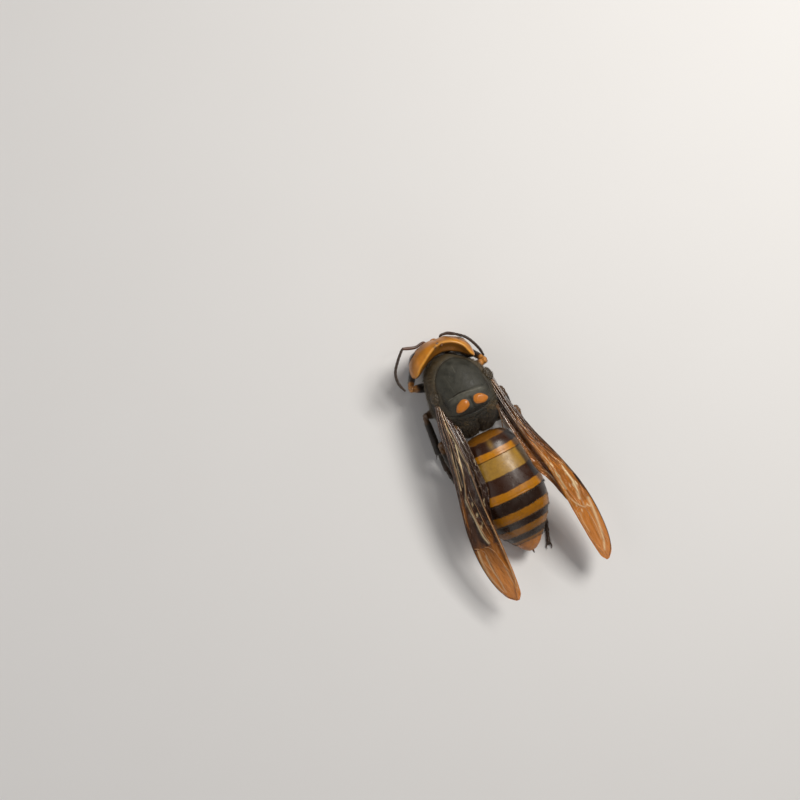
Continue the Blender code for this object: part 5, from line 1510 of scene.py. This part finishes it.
def make_membrane(wing, name, side):
    """A thin sheet from a grid, folded lengthwise, with its inner edge turned under."""
    rows, columns = WING_GRIDS[wing]
    bpy.ops.mesh.primitive_grid_add(x_subdivisions=columns, y_subdivisions=rows, size=2.0)
    sheet = bpy.context.object
    sheet.name = sheet.data.name = f"{wing}_{name}"
    flat = coordinates(sheet)
    share = (flat[:, 1] + 1) / 2
    low = -FOLD_UNDER if wing == "forewing" else 0.0
    place = low + (1 - low) * (flat[:, 0] + 1) / 2
    whole = share if wing == "forewing" else share * HINDWING_SPAN[1]
    streak = wing_waves(share, place, 9, 14, 61)
    creases = np.abs(wing_waves(share, place, 30, 9, 62))
    long_folds = np.abs(wing_waves(share, place, 5, 30, 65))
    crushed = 0.07 + 0.22 * near(whole, 0.53, 0.13)
    crumple = (0.06 * streak - crushed * creases - 0.08 * long_folds) * rise(whole, 0.15, 0.35)
    set_coordinates(sheet, wing_points(wing, name, side, share, place, crumple))
    amber = rise(whole + 0.08 * streak, *AMBER_SPAN[name])
    if wing == "forewing":
        smoke = SMOKE_AND_SHADE[name] * rise(place - np.interp(whole, *np.array(SMOKE_LINE[name]).T), 0.0, 0.1)
        folds = rise(fold_height(share, place, FOREWING_VEINS[name]), 0.0, 0.08)
        brown = 0.35 * (name == "left") * rise(place, 0.5, 0.7) * rise(whole, 0.42, 0.5)
        # Painted shade: the membrane between the folds' crests is darkened, and the left wing is kept
        # darker than the right.
        tone = (amber * (1 - smoke)).clip(brown) - 0.3 * (1 - folds) * (whole < 0.7)
        # Painted glints along the crests, in sparkles on the crushed membrane and on the fine lines
        # near the tip.
        spots = [near(whole, along, length) * near(place, across, width)
                 for along, across, length, width in PAINTED_SPARKLES[name]]
        painted_sparks = rise(wing_waves(share, place, 75, 30, 66) * sum(spots), 0.04, 0.42)
        tip_glints = rise(-long_folds, -0.03, -0.005) * rise(whole, 0.68, 0.74)
        gold = painted_crest_glint(name, share, place) + 0.75 * painted_sparks + 0.14 * tip_glints
    else:
        tone = 0.45 * amber
        # Painted glints along the hindwing's creases.
        gold = 0.6 * rise(-creases, -0.04, -0.01) * rise(streak, 0.0, 0.3)
    mark(sheet, "tone", tone)
    mark(sheet, "light", 0.6 * rise(whole + 0.04 * streak, 0.72, 1.0))
    mark(sheet, "gold", gold)
    turn_outwards(sheet)
    apply_modifier(sheet, "SOLIDIFY", thickness=sizes().membrane / MM, offset=0.0)
    return sheet


def make_veins(wing, name, side):
    tubes = []
    veins = FOREWING_VEINS[name] if wing == "forewing" else HINDWING_VEINS
    for points, start, end, pale, _ in veins:
        count = max(int((points[-1][0] - points[0][0]) * 150), 14)
        share, place = path_points(points, np.linspace(0, 1, count)).T
        path = wing_points(wing, name, side, share.clip(0, 1), place.clip(0.01, 0.99), 0.02)
        radii = start + (end - start) * np.linspace(0, 1, count)
        tube = limb("vein", path, radii, 10, flat=0.8)
        places = coordinates(tube)
        along = (places[:, 1] - WING_ROOT_Y) / (WING_TIP_Y[name] - WING_ROOT_Y)
        outer = 0.9 * (pale > 0) * rise(along, 0.45, 0.65)
        mark(tube, "tone", pale * (0.5 + 0.6 * waves(places, 4.0, 64)) + outer)
        tubes.append(tube)
    if wing == "forewing":
        shares = np.linspace(*STIGMA, 24)
        path = wing_points(wing, name, side, shares, np.full(24, 0.93), 0.03)
        thickness = STIGMA_RADIUS * np.sin(np.linspace(0.15, math.pi - 0.15, 24)) ** 0.6
        tubes.append(limb("stigma", path, thickness, 12, flat=0.5))
        mark(tubes[-1], "tone", 0.0)
    else:
        for points in ROOT_CORDS:
            path = path_points(np.array(points) * (side, 1, 1), np.linspace(0, 1, 30))
            tubes.append(limb("cord", path, np.linspace(0.13, 0.05, 30), 10))
            mark(tubes[-1], "tone", 0.35)
    return tubes


def make_wings():
    membrane = membrane_material()
    vein = plain_chitin("horny_wing_veins", colours().vein, colours().vein_pale, "tone", 0.22, 0.0, 0.6)
    for name, side in SIDES:
        for wing in ("forewing", "hindwing"):
            sheet = make_membrane(wing, name, side)
            finish_piece(sheet, membrane, "wing_membrane", f"{wing}_{name}")
            veins = join(f"{wing}_veins_{name}", make_veins(wing, name, side))
            finish_piece(veins, vein, "wing_membrane")


# ---- legs ----


def claws(path, thickness):
    """Two curved claws with the pad between them."""
    ahead = unit(path[-1] - path[-4])
    across = np.cross(ahead, (0.0, 0.0, 1.0))
    pieces = [ball("pad", path[-1] + ahead * 0.3, (0.2, 0.2, 0.14), columns=16, rows=10)]
    for way in (-1, 1):
        points = [path[-1] + ahead * forward * CLAW_LENGTH + across * way * aside + (0, 0, height)
                  for forward, aside, height in CLAW_PATH]
        line = path_points(points, np.linspace(0, 1, 18))
        pieces.append(limb("claw", line, np.linspace(0.19, 0.035, 18) * thickness, 12, on_floor=True))
    return pieces


def make_tarsus(name, points, thickness):
    """Five joints, each widening to its end, and the claws."""
    pieces = []
    for start, end in zip(TARSOMERES, TARSOMERES[1:]):
        shares = np.linspace(start - TARSOMERE_GAPS[0], end - TARSOMERE_GAPS[1], 22)
        radius = TARSUS_RADII[0] + (TARSUS_RADII[1] - TARSUS_RADII[0]) * (start + end) / 2
        radii = smooth(TARSOMERE_PROFILE, np.linspace(0, 1, 22))[0] * radius * thickness
        path = path_points(points[3:], shares.clip(0, 1))
        pieces.append(limb(f"tarsus_{name}", path, radii, 20, on_floor=True))
    pieces += claws(path_points(points[3:], np.linspace(0, 1, 40)), thickness)
    return combine(pieces[0], "UNION", *pieces[1:])


def make_spurs(pair, points):
    knee, ankle = np.array(points[2]), np.array(points[3])
    ahead = unit(ankle - knee)
    across = unit(np.cross(ahead, (0.0, 0.0, 1.0)))
    pieces = []
    for spread in SPURS[pair]:
        start = knee + (ankle - knee) * 0.95 + across * 0.4 * spread
        end = start + ahead * SPUR_LENGTH + across * 0.55 * spread
        end[2] = max(end[2], 0.3)
        line = start + np.outer(np.linspace(0, 1, 10), end - start)
        pieces.append(limb("spur", line, np.linspace(0.17, 0.03, 10), 10))
    return pieces


def make_legs():
    leg = ("black_brown_leg_chitin", colours().leg, colours().knee)
    shell = plain_chitin(*leg, "pale", 0.36, 0.015, 0.2)
    foot = ("brown_foot_chitin", colours().foot, colours().leg)
    foot_shell = plain_chitin(*foot, "pale", 0.4, 0.01, 0.1)
    for name, points in LEGS.items():
        pair = name.split("_")[0]
        thickness = LEG_THICKNESS[pair]
        coxa = profiled_limb(f"coxa_{name}", points[:2], COXA_PROFILE, thickness, columns=32)
        femur = profiled_limb(f"femur_{name}", points[1:3], FEMUR_PROFILE, thickness, 60, FEMUR_BOW,
                              columns=32)
        tibia = profiled_limb(f"tibia_{name}", points[2:4], TIBIA_PROFILE, thickness, 60, columns=32,
                              flat=0.9)
        combine(tibia, "UNION", *make_spurs(pair, points))
        for part, piece in (("coxa", coxa), ("femur", femur), ("tibia", tibia)):
            places = coordinates(piece)
            from_knee = np.linalg.norm(places - points[2], axis=1) + 0.25 * waves(places, 1.2, 41)
            mark(piece, "pale", KNEE_TONES[pair] * rise(-from_knee, -1.9, -1.1))
            sculpt(piece, lambda at, _: 0.02 * waves(at, 1.1, 42))
            finish_piece(piece, shell, "leg_shell", f"{part}_{name}")
        foot = make_tarsus(name, points, thickness)
        from_ankle = np.linalg.norm(coordinates(foot) - points[3], axis=1)
        mark(foot, "pale", 0.25 + 0.75 * rise(-from_ankle, -4.5, -1.0))
        finish_piece(foot, foot_shell, "foot_shell", f"tarsus_{name}")


# ---- hair ----


def new_mesh(name, points, triangles):
    """A mesh object from arrays of points and triangles."""
    mesh = bpy.data.meshes.new(name)
    mesh.vertices.add(len(points))
    mesh.vertices.foreach_set("co", points.ravel())
    mesh.loops.add(triangles.size)
    mesh.loops.foreach_set("vertex_index", triangles.ravel().astype(np.int32))
    mesh.polygons.add(len(triangles))
    mesh.polygons.foreach_set("loop_start", np.arange(0, triangles.size, 3, dtype=np.int32))
    mesh.update(calc_edges=True)
    obj = bpy.data.objects.new(name, mesh)
    bpy.context.scene.collection.objects.link(obj)
    return obj


SLANT = np.array((1.0, 0.62, 0.37))  # along this direction no two corners of a face are level


def skin_triangles(names):
    """Corners and normals of the triangles of finished pieces, in millimetres.

    Blender may list the faces of a ball in another order each time, so they are sorted here, and
    the hairs grow at the same places in every run.
    """
    corners, directions = [], []
    for name in names:
        skin = bpy.data.objects[f"{name}_fine"]
        skin.data.calc_loop_triangles()
        index = np.empty(len(skin.data.loop_triangles) * 3, dtype=np.int32)
        skin.data.loop_triangles.foreach_get("vertices", index)
        places = (coordinates(skin) - np.array(ORIGIN)) / MM
        corners.append(places[index].reshape(-1, 3, 3))
        directions.append(normals(skin)[index].reshape(-1, 3, 3))
    corners, directions = np.concatenate(corners), np.concatenate(directions)
    lowest = (corners * SLANT).sum(axis=2).argmin(axis=1)
    turned = ((lowest[:, None] + np.arange(3)) % 3)[:, :, None]
    corners = np.take_along_axis(corners, turned, axis=1)
    directions = np.take_along_axis(directions, turned, axis=1)
    order = np.lexsort(corners.reshape(-1, 9).T)
    return corners[order], directions[order]


# The seven points of a hair: three round its root, three half way up, and its end.
HAIR_TRIANGLES = np.array((
    (2, 1, 0), (0, 1, 4), (0, 4, 3), (1, 2, 5), (1, 5, 4), (2, 0, 3), (2, 3, 5), (3, 4, 6), (4, 5, 6),
    (5, 3, 6),
))
HAIR_PATCH = 0.0014  # half the width of a hair's patch on the map
MAP_MIDDLE_Z = 6.0  # the map of a coat is rolled round the body at this height
MAP_START = -16.0
MAP_LENGTH = 56.0


def grow_hair(material, name, skins, slot, count, lengths, rising, lie, tint, seed, density):
    """Tapered, bent hairs that lie along the body, as one mesh."""
    draw = np.random.default_rng(seed)
    count = int(count * sizes().hair_share * (1.0))
    corners, directions = skin_triangles(skins)
    first, second, third = np.moveaxis(corners, 1, 0)
    area = np.linalg.norm(np.cross(second - first, third - first), axis=1)
    middle, facing = corners.mean(axis=1), unit(directions.mean(axis=1))
    weight = area * density(middle, facing).clip(0)
    pick = draw.choice(len(weight), count, p=weight / weight.sum())
    a, b = draw.random((2, count))
    a, b = np.where(a + b > 1, 1 - a, a), np.where(a + b > 1, 1 - b, b)
    shares = np.column_stack([1 - a - b, a, b])[:, :, None]
    root = (corners[pick] * shares).sum(axis=1)
    up = unit((directions[pick] * shares).sum(axis=1))
    along = np.array(lie) + draw.normal(scale=0.3, size=(count, 3))
    along = unit(along - up * (along * up).sum(axis=1, keepdims=True))
    aside = np.cross(up, along)
    tall = draw.uniform(*lengths, count)[:, None]
    angle = np.radians(rising * draw.uniform(0.6, 1.4, count))[:, None]
    lower = along * np.cos(angle) + up * np.sin(angle)
    sway = aside * draw.normal(scale=0.2, size=(count, 1))
    upper = along * np.cos(angle * 0.45) + up * np.sin(angle * 0.45) + sway
    radius = sizes().hair_radius / MM * draw.uniform(0.8, 1.2, (count, 1))
    half = root + lower * tall * 0.5
    points = np.empty((count, 7, 3))
    for k in range(3):
        turn = 2 * math.pi * k / 3
        spread = aside * math.cos(turn) + up * math.sin(turn)
        points[:, k] = root - up * 0.04 + spread * radius
        points[:, 3 + k] = half + spread * radius * 0.75
    points[:, 6] = half + unit(upper) * tall * 0.5
    points[:, :, 2] = np.maximum(points[:, :, 2], 0.01)
    triangles = (HAIR_TRIANGLES[None] + 7 * np.arange(count)[:, None, None]).reshape(-1, 3)
    coat = new_mesh(name, points.reshape(-1, 3), triangles)
    low, high, power = tint
    shade = (draw.uniform(low, high, count) ** power)[:, None] + (0, 0, 0, 0.12, 0.12, 0.12, 0.3)
    mark(coat, "tint", shade.ravel())
    round_body = np.arctan2(root[:, 0], root[:, 2] - MAP_MIDDLE_Z) / (2 * math.pi) + 0.5
    home = np.column_stack([round_body, (root[:, 1] - MAP_START) / MAP_LENGTH])
    turns = np.arange(7) * 2 * math.pi / 3
    size = HAIR_PATCH * np.array((1, 1, 1, 0.5, 0.5, 0.5, 0))
    corner = np.column_stack([np.cos(turns), np.sin(turns)]) * size[:, None]
    patch = (home[:, None] + corner[None]).reshape(-1, 2)[triangles.ravel()]
    layer = coat.data.uv_layers.new(name="OFBake")
    layer.data.foreach_set("uv", patch.clip(0, 1).ravel())
    return finish_piece(coat, material, slot)


def even(places, facing):
    return np.ones(len(places))


def on_collar(places, facing):
    return 0.4 + 0.6 * rise(places[:, 1], -9.6, -8.4)


def on_back(places, facing):
    """The top of the thorax, apart from the spots."""
    return rise(places[:, 2], 10.6, 11.6) * (facing[:, 2] > 0.2) * (spot_reach(places) > 1.05)


def on_flanks(places, facing):
    """The outside of the thorax below its back."""
    outside = np.linalg.norm((places - (0, -2, 7.5)) / (4.6, 9.0, 4.5), axis=1) > 0.95
    return rise(-places[:, 2], -10.2, -8.6) * outside


def on_propodeum(places, facing):
    return rise(places[:, 1], 1.0, 2.4) * (places[:, 2] > 4)


def in_tufts(places, facing):
    """Two tufts behind the wing roots, the left one thinner."""
    x, y, _ = places.T
    right = near(x, -3.0, 1.1) * near(y, 2.2, 0.8)
    return right + 0.35 * near(x, 3.2, 1.2) * near(y, 3.4, 0.8)


def on_face(places, facing):
    return 0.08 + rise(-places[:, 2], -6.0, -3.0)


def in_combs(places, facing):
    """Rows of bristles across the abdomen, and short hair below."""
    _, y, z = places.T
    combs = sum(near(y, row, 0.22) for row in BRISTLE_ROWS)
    return 0.02 + combs + 0.03 * rise(y, 20, 24) + 0.4 * rise(-z, -3.5, -0.5) * (y > 12)


BACKWARDS = (0.0, 1.0, -0.35)
OLIVE, DARK, SHADED = (0.05, 0.5, 1.3), (0.0, 0.2, 1.0), (0.0, 0.4, 1.5)
GOLDEN, BROWN = (0.75, 1.0, 1.0), (0.2, 0.6, 1.0)
REAR_PLATES = ("mesothorax", "propodeum")
# Each coat: its name, the pieces it grows on, its slot, the number, shortest and longest of its
# hairs, the degrees that they rise, the way they lie, their tint as two ends and a power, the seed
# and how densely they stand.
COATS = (
    ("hair_collar", ("pronotum", "tegula_left", "tegula_right"), "collar_shell",
     12000, (0.16, 0.36), 42, BACKWARDS, OLIVE, 51, on_collar),
    ("hair_scutum", ("mesothorax", "scutellum"), "thorax_shell", 6000, (0.08, 0.16), 45,
     BACKWARDS, DARK, 52, on_back),
    ("hair_flanks", ("mesothorax", "pronotum"), "thorax_shell", 16000, (0.4, 0.95), 40,
     (0.0, 0.6, -0.5), SHADED, 53, on_flanks),
    ("hair_propodeum", REAR_PLATES, "thorax_shell", 6500, (0.25, 0.6), 30,
     (0.0, 0.5, -0.2), DARK, 54, on_propodeum),
    ("hair_tuft", REAR_PLATES, "thorax_shell", 1600, (0.5, 1.1), 35,
     (-0.5, 0.3, 0.0), BROWN, 59, in_tufts),
    ("hair_head", ("head",), "head_shell", 2600, (0.1, 0.22), 40, BACKWARDS, GOLDEN, 55, on_face),
    ("hair_abdomen", [f"abdomen_{number}" for number in range(1, 7)], "abdomen_shell",
     10000, (0.2, 0.38), 22, (0, 1, 0), DARK, 56, in_combs),
    ("hair_legs", [f"{part}_{name}" for name in LEGS for part in ("coxa", "femur", "tibia")],
     "leg_shell", 14000, (0.12, 0.3), 40, (0.0, 0.8, -0.8), DARK, 57, even),
    ("hair_feet", [f"tarsus_{name}" for name in LEGS], "foot_shell",
     6000, (0.1, 0.22), 45, (0.0, 1.0, 0.0), OLIVE, 58, even),
)


def make_hair():
    material = hair_material()
    for coat in COATS:
        grow_hair(material, *coat)


# ---- stage ----


def make_stage():
    """A pale floor, soft lights and the camera."""
    scene = bpy.context.scene
    scene.view_settings.view_transform = "Standard"
    bpy.ops.mesh.primitive_plane_add(size=FLOOR_SIZE, location=(0.0, 0.0, -FLOOR_DROP))
    floor = bpy.context.object
    floor.name = "floor"
    bpy.ops.object.transform_apply(location=True, rotation=True, scale=True)
    floor.data.materials.append(floor_material())

    world = bpy.data.worlds.new("soft_studio")
    world.use_nodes = True
    tree = world.node_tree
    fill(tree, tree.nodes["Background"].inputs, {"Color": STUDIO_COLOUR, "Strength": STUDIO_STRENGTH})
    scene.world = world

    for name, place, size, power, tone in LIGHTS:
        bpy.ops.object.light_add(type="AREA", location=place)
        light = bpy.context.object
        light.name = name
        light.data.size = size
        light.data.energy = power
        light.data.color = tone
        light.rotation_euler = (-Vector(place)).to_track_quat("-Z", "Y").to_euler()

    place = Vector(CAMERA_PLACE) * MM + ORIGIN
    aim = Vector(CAMERA_AIM) * MM + ORIGIN
    up_bearing = math.radians(CAMERA_UP_BEARING)
    ahead = (aim - place).normalized()
    right = ahead.cross(Vector((math.cos(up_bearing), math.sin(up_bearing), 0.0))).normalized()
    up = right.cross(ahead)
    bpy.ops.object.camera_add(location=place)
    camera = bpy.context.object
    camera.rotation_euler = Matrix((right, up, -ahead)).transposed().to_euler()
    camera.data.lens = CAMERA_LENS
    camera.data.sensor_width = SENSOR_WIDTH
    camera.data.clip_start = 0.005
    scene.camera = camera


# ---- operators and panel ----


class HORNET_OT_head(bpy.types.Operator):
    """Add the head's shell and the ocelli"""

    bl_idname = "hornet.head"
    bl_label = "Head"

    def execute(self, context):
        make_head()
        return {"FINISHED"}


class HORNET_OT_eyes(bpy.types.Operator):
    """Add the compound eyes"""

    bl_idname = "hornet.eyes"
    bl_label = "Eyes"

    def execute(self, context):
        make_eyes()
        return {"FINISHED"}


class HORNET_OT_mandibles(bpy.types.Operator):
    """Add the mandibles and palps"""

    bl_idname = "hornet.mandibles"
    bl_label = "Mandibles"

    def execute(self, context):
        make_mandibles()
        return {"FINISHED"}


class HORNET_OT_antennae(bpy.types.Operator):
    """Add the antennae"""

    bl_idname = "hornet.antennae"
    bl_label = "Antennae"

    def execute(self, context):
        make_antennae()
        return {"FINISHED"}


class HORNET_OT_thorax(bpy.types.Operator):
    """Add the plates of the thorax"""

    bl_idname = "hornet.thorax"
    bl_label = "Thorax"

    def execute(self, context):
        make_thorax()
        return {"FINISHED"}


class HORNET_OT_abdomen(bpy.types.Operator):
    """Add the plates of the abdomen and the sting"""

    bl_idname = "hornet.abdomen"
    bl_label = "Abdomen"

    def execute(self, context):
        make_abdomen()
        return {"FINISHED"}


class HORNET_OT_wings(bpy.types.Operator):
    """Add the membranes and veins of the four wings"""

    bl_idname = "hornet.wings"
    bl_label = "Wings"

    def execute(self, context):
        make_wings()
        return {"FINISHED"}


class HORNET_OT_legs(bpy.types.Operator):
    """Add the six legs"""

    bl_idname = "hornet.legs"
    bl_label = "Legs"

    def execute(self, context):
        make_legs()
        return {"FINISHED"}


class HORNET_OT_hair(bpy.types.Operator):
    """Grow the hair on the finished shell"""

    bl_idname = "hornet.hair"
    bl_label = "Hair"

    def execute(self, context):
        make_hair()
        return {"FINISHED"}


class HORNET_OT_stage(bpy.types.Operator):
    """Add the floor, the lights and the camera"""

    bl_idname = "hornet.stage"
    bl_label = "Stage"

    def execute(self, context):
        make_stage()
        return {"FINISHED"}


OPERATORS = (
    HORNET_OT_head, HORNET_OT_eyes, HORNET_OT_mandibles, HORNET_OT_antennae, HORNET_OT_thorax,
    HORNET_OT_abdomen, HORNET_OT_wings, HORNET_OT_legs, HORNET_OT_hair, HORNET_OT_stage,
)


class HORNET_PT_panel(bpy.types.Panel):
    """Lists the hornet's pieces and settings"""

    bl_idname = "HORNET_PT_panel"
    bl_label = "Asian Giant Hornet"
    bl_space_type = "VIEW_3D"
    bl_region_type = "UI"
    bl_category = "Hornet"

    def draw(self, context):
        for operator in OPERATORS:
            self.layout.operator(operator.bl_idname)
        for settings in (context.scene.hornet_colours, context.scene.hornet_sizes):
            for name in settings.__annotations__:
                self.layout.prop(settings, name)


CLASSES = (HornetColours, HornetSizes, *OPERATORS, HORNET_PT_panel)


def register():
    for cls in CLASSES:
        bpy.utils.register_class(cls)
    bpy.types.Scene.hornet_colours = bpy.props.PointerProperty(type=HornetColours)
    bpy.types.Scene.hornet_sizes = bpy.props.PointerProperty(type=HornetSizes)


def unregister():
    del bpy.types.Scene.hornet_sizes
    del bpy.types.Scene.hornet_colours
    for cls in reversed(CLASSES):
        bpy.utils.unregister_class(cls)


def main():
    register()
    bpy.ops.hornet.head()
    bpy.ops.hornet.eyes()
    bpy.ops.hornet.mandibles()
    bpy.ops.hornet.antennae()
    bpy.ops.hornet.thorax()
    bpy.ops.hornet.abdomen()
    bpy.ops.hornet.wings()
    bpy.ops.hornet.legs()
    bpy.ops.hornet.hair()
    bpy.ops.hornet.stage()


if __name__ == "__main__":
    main()
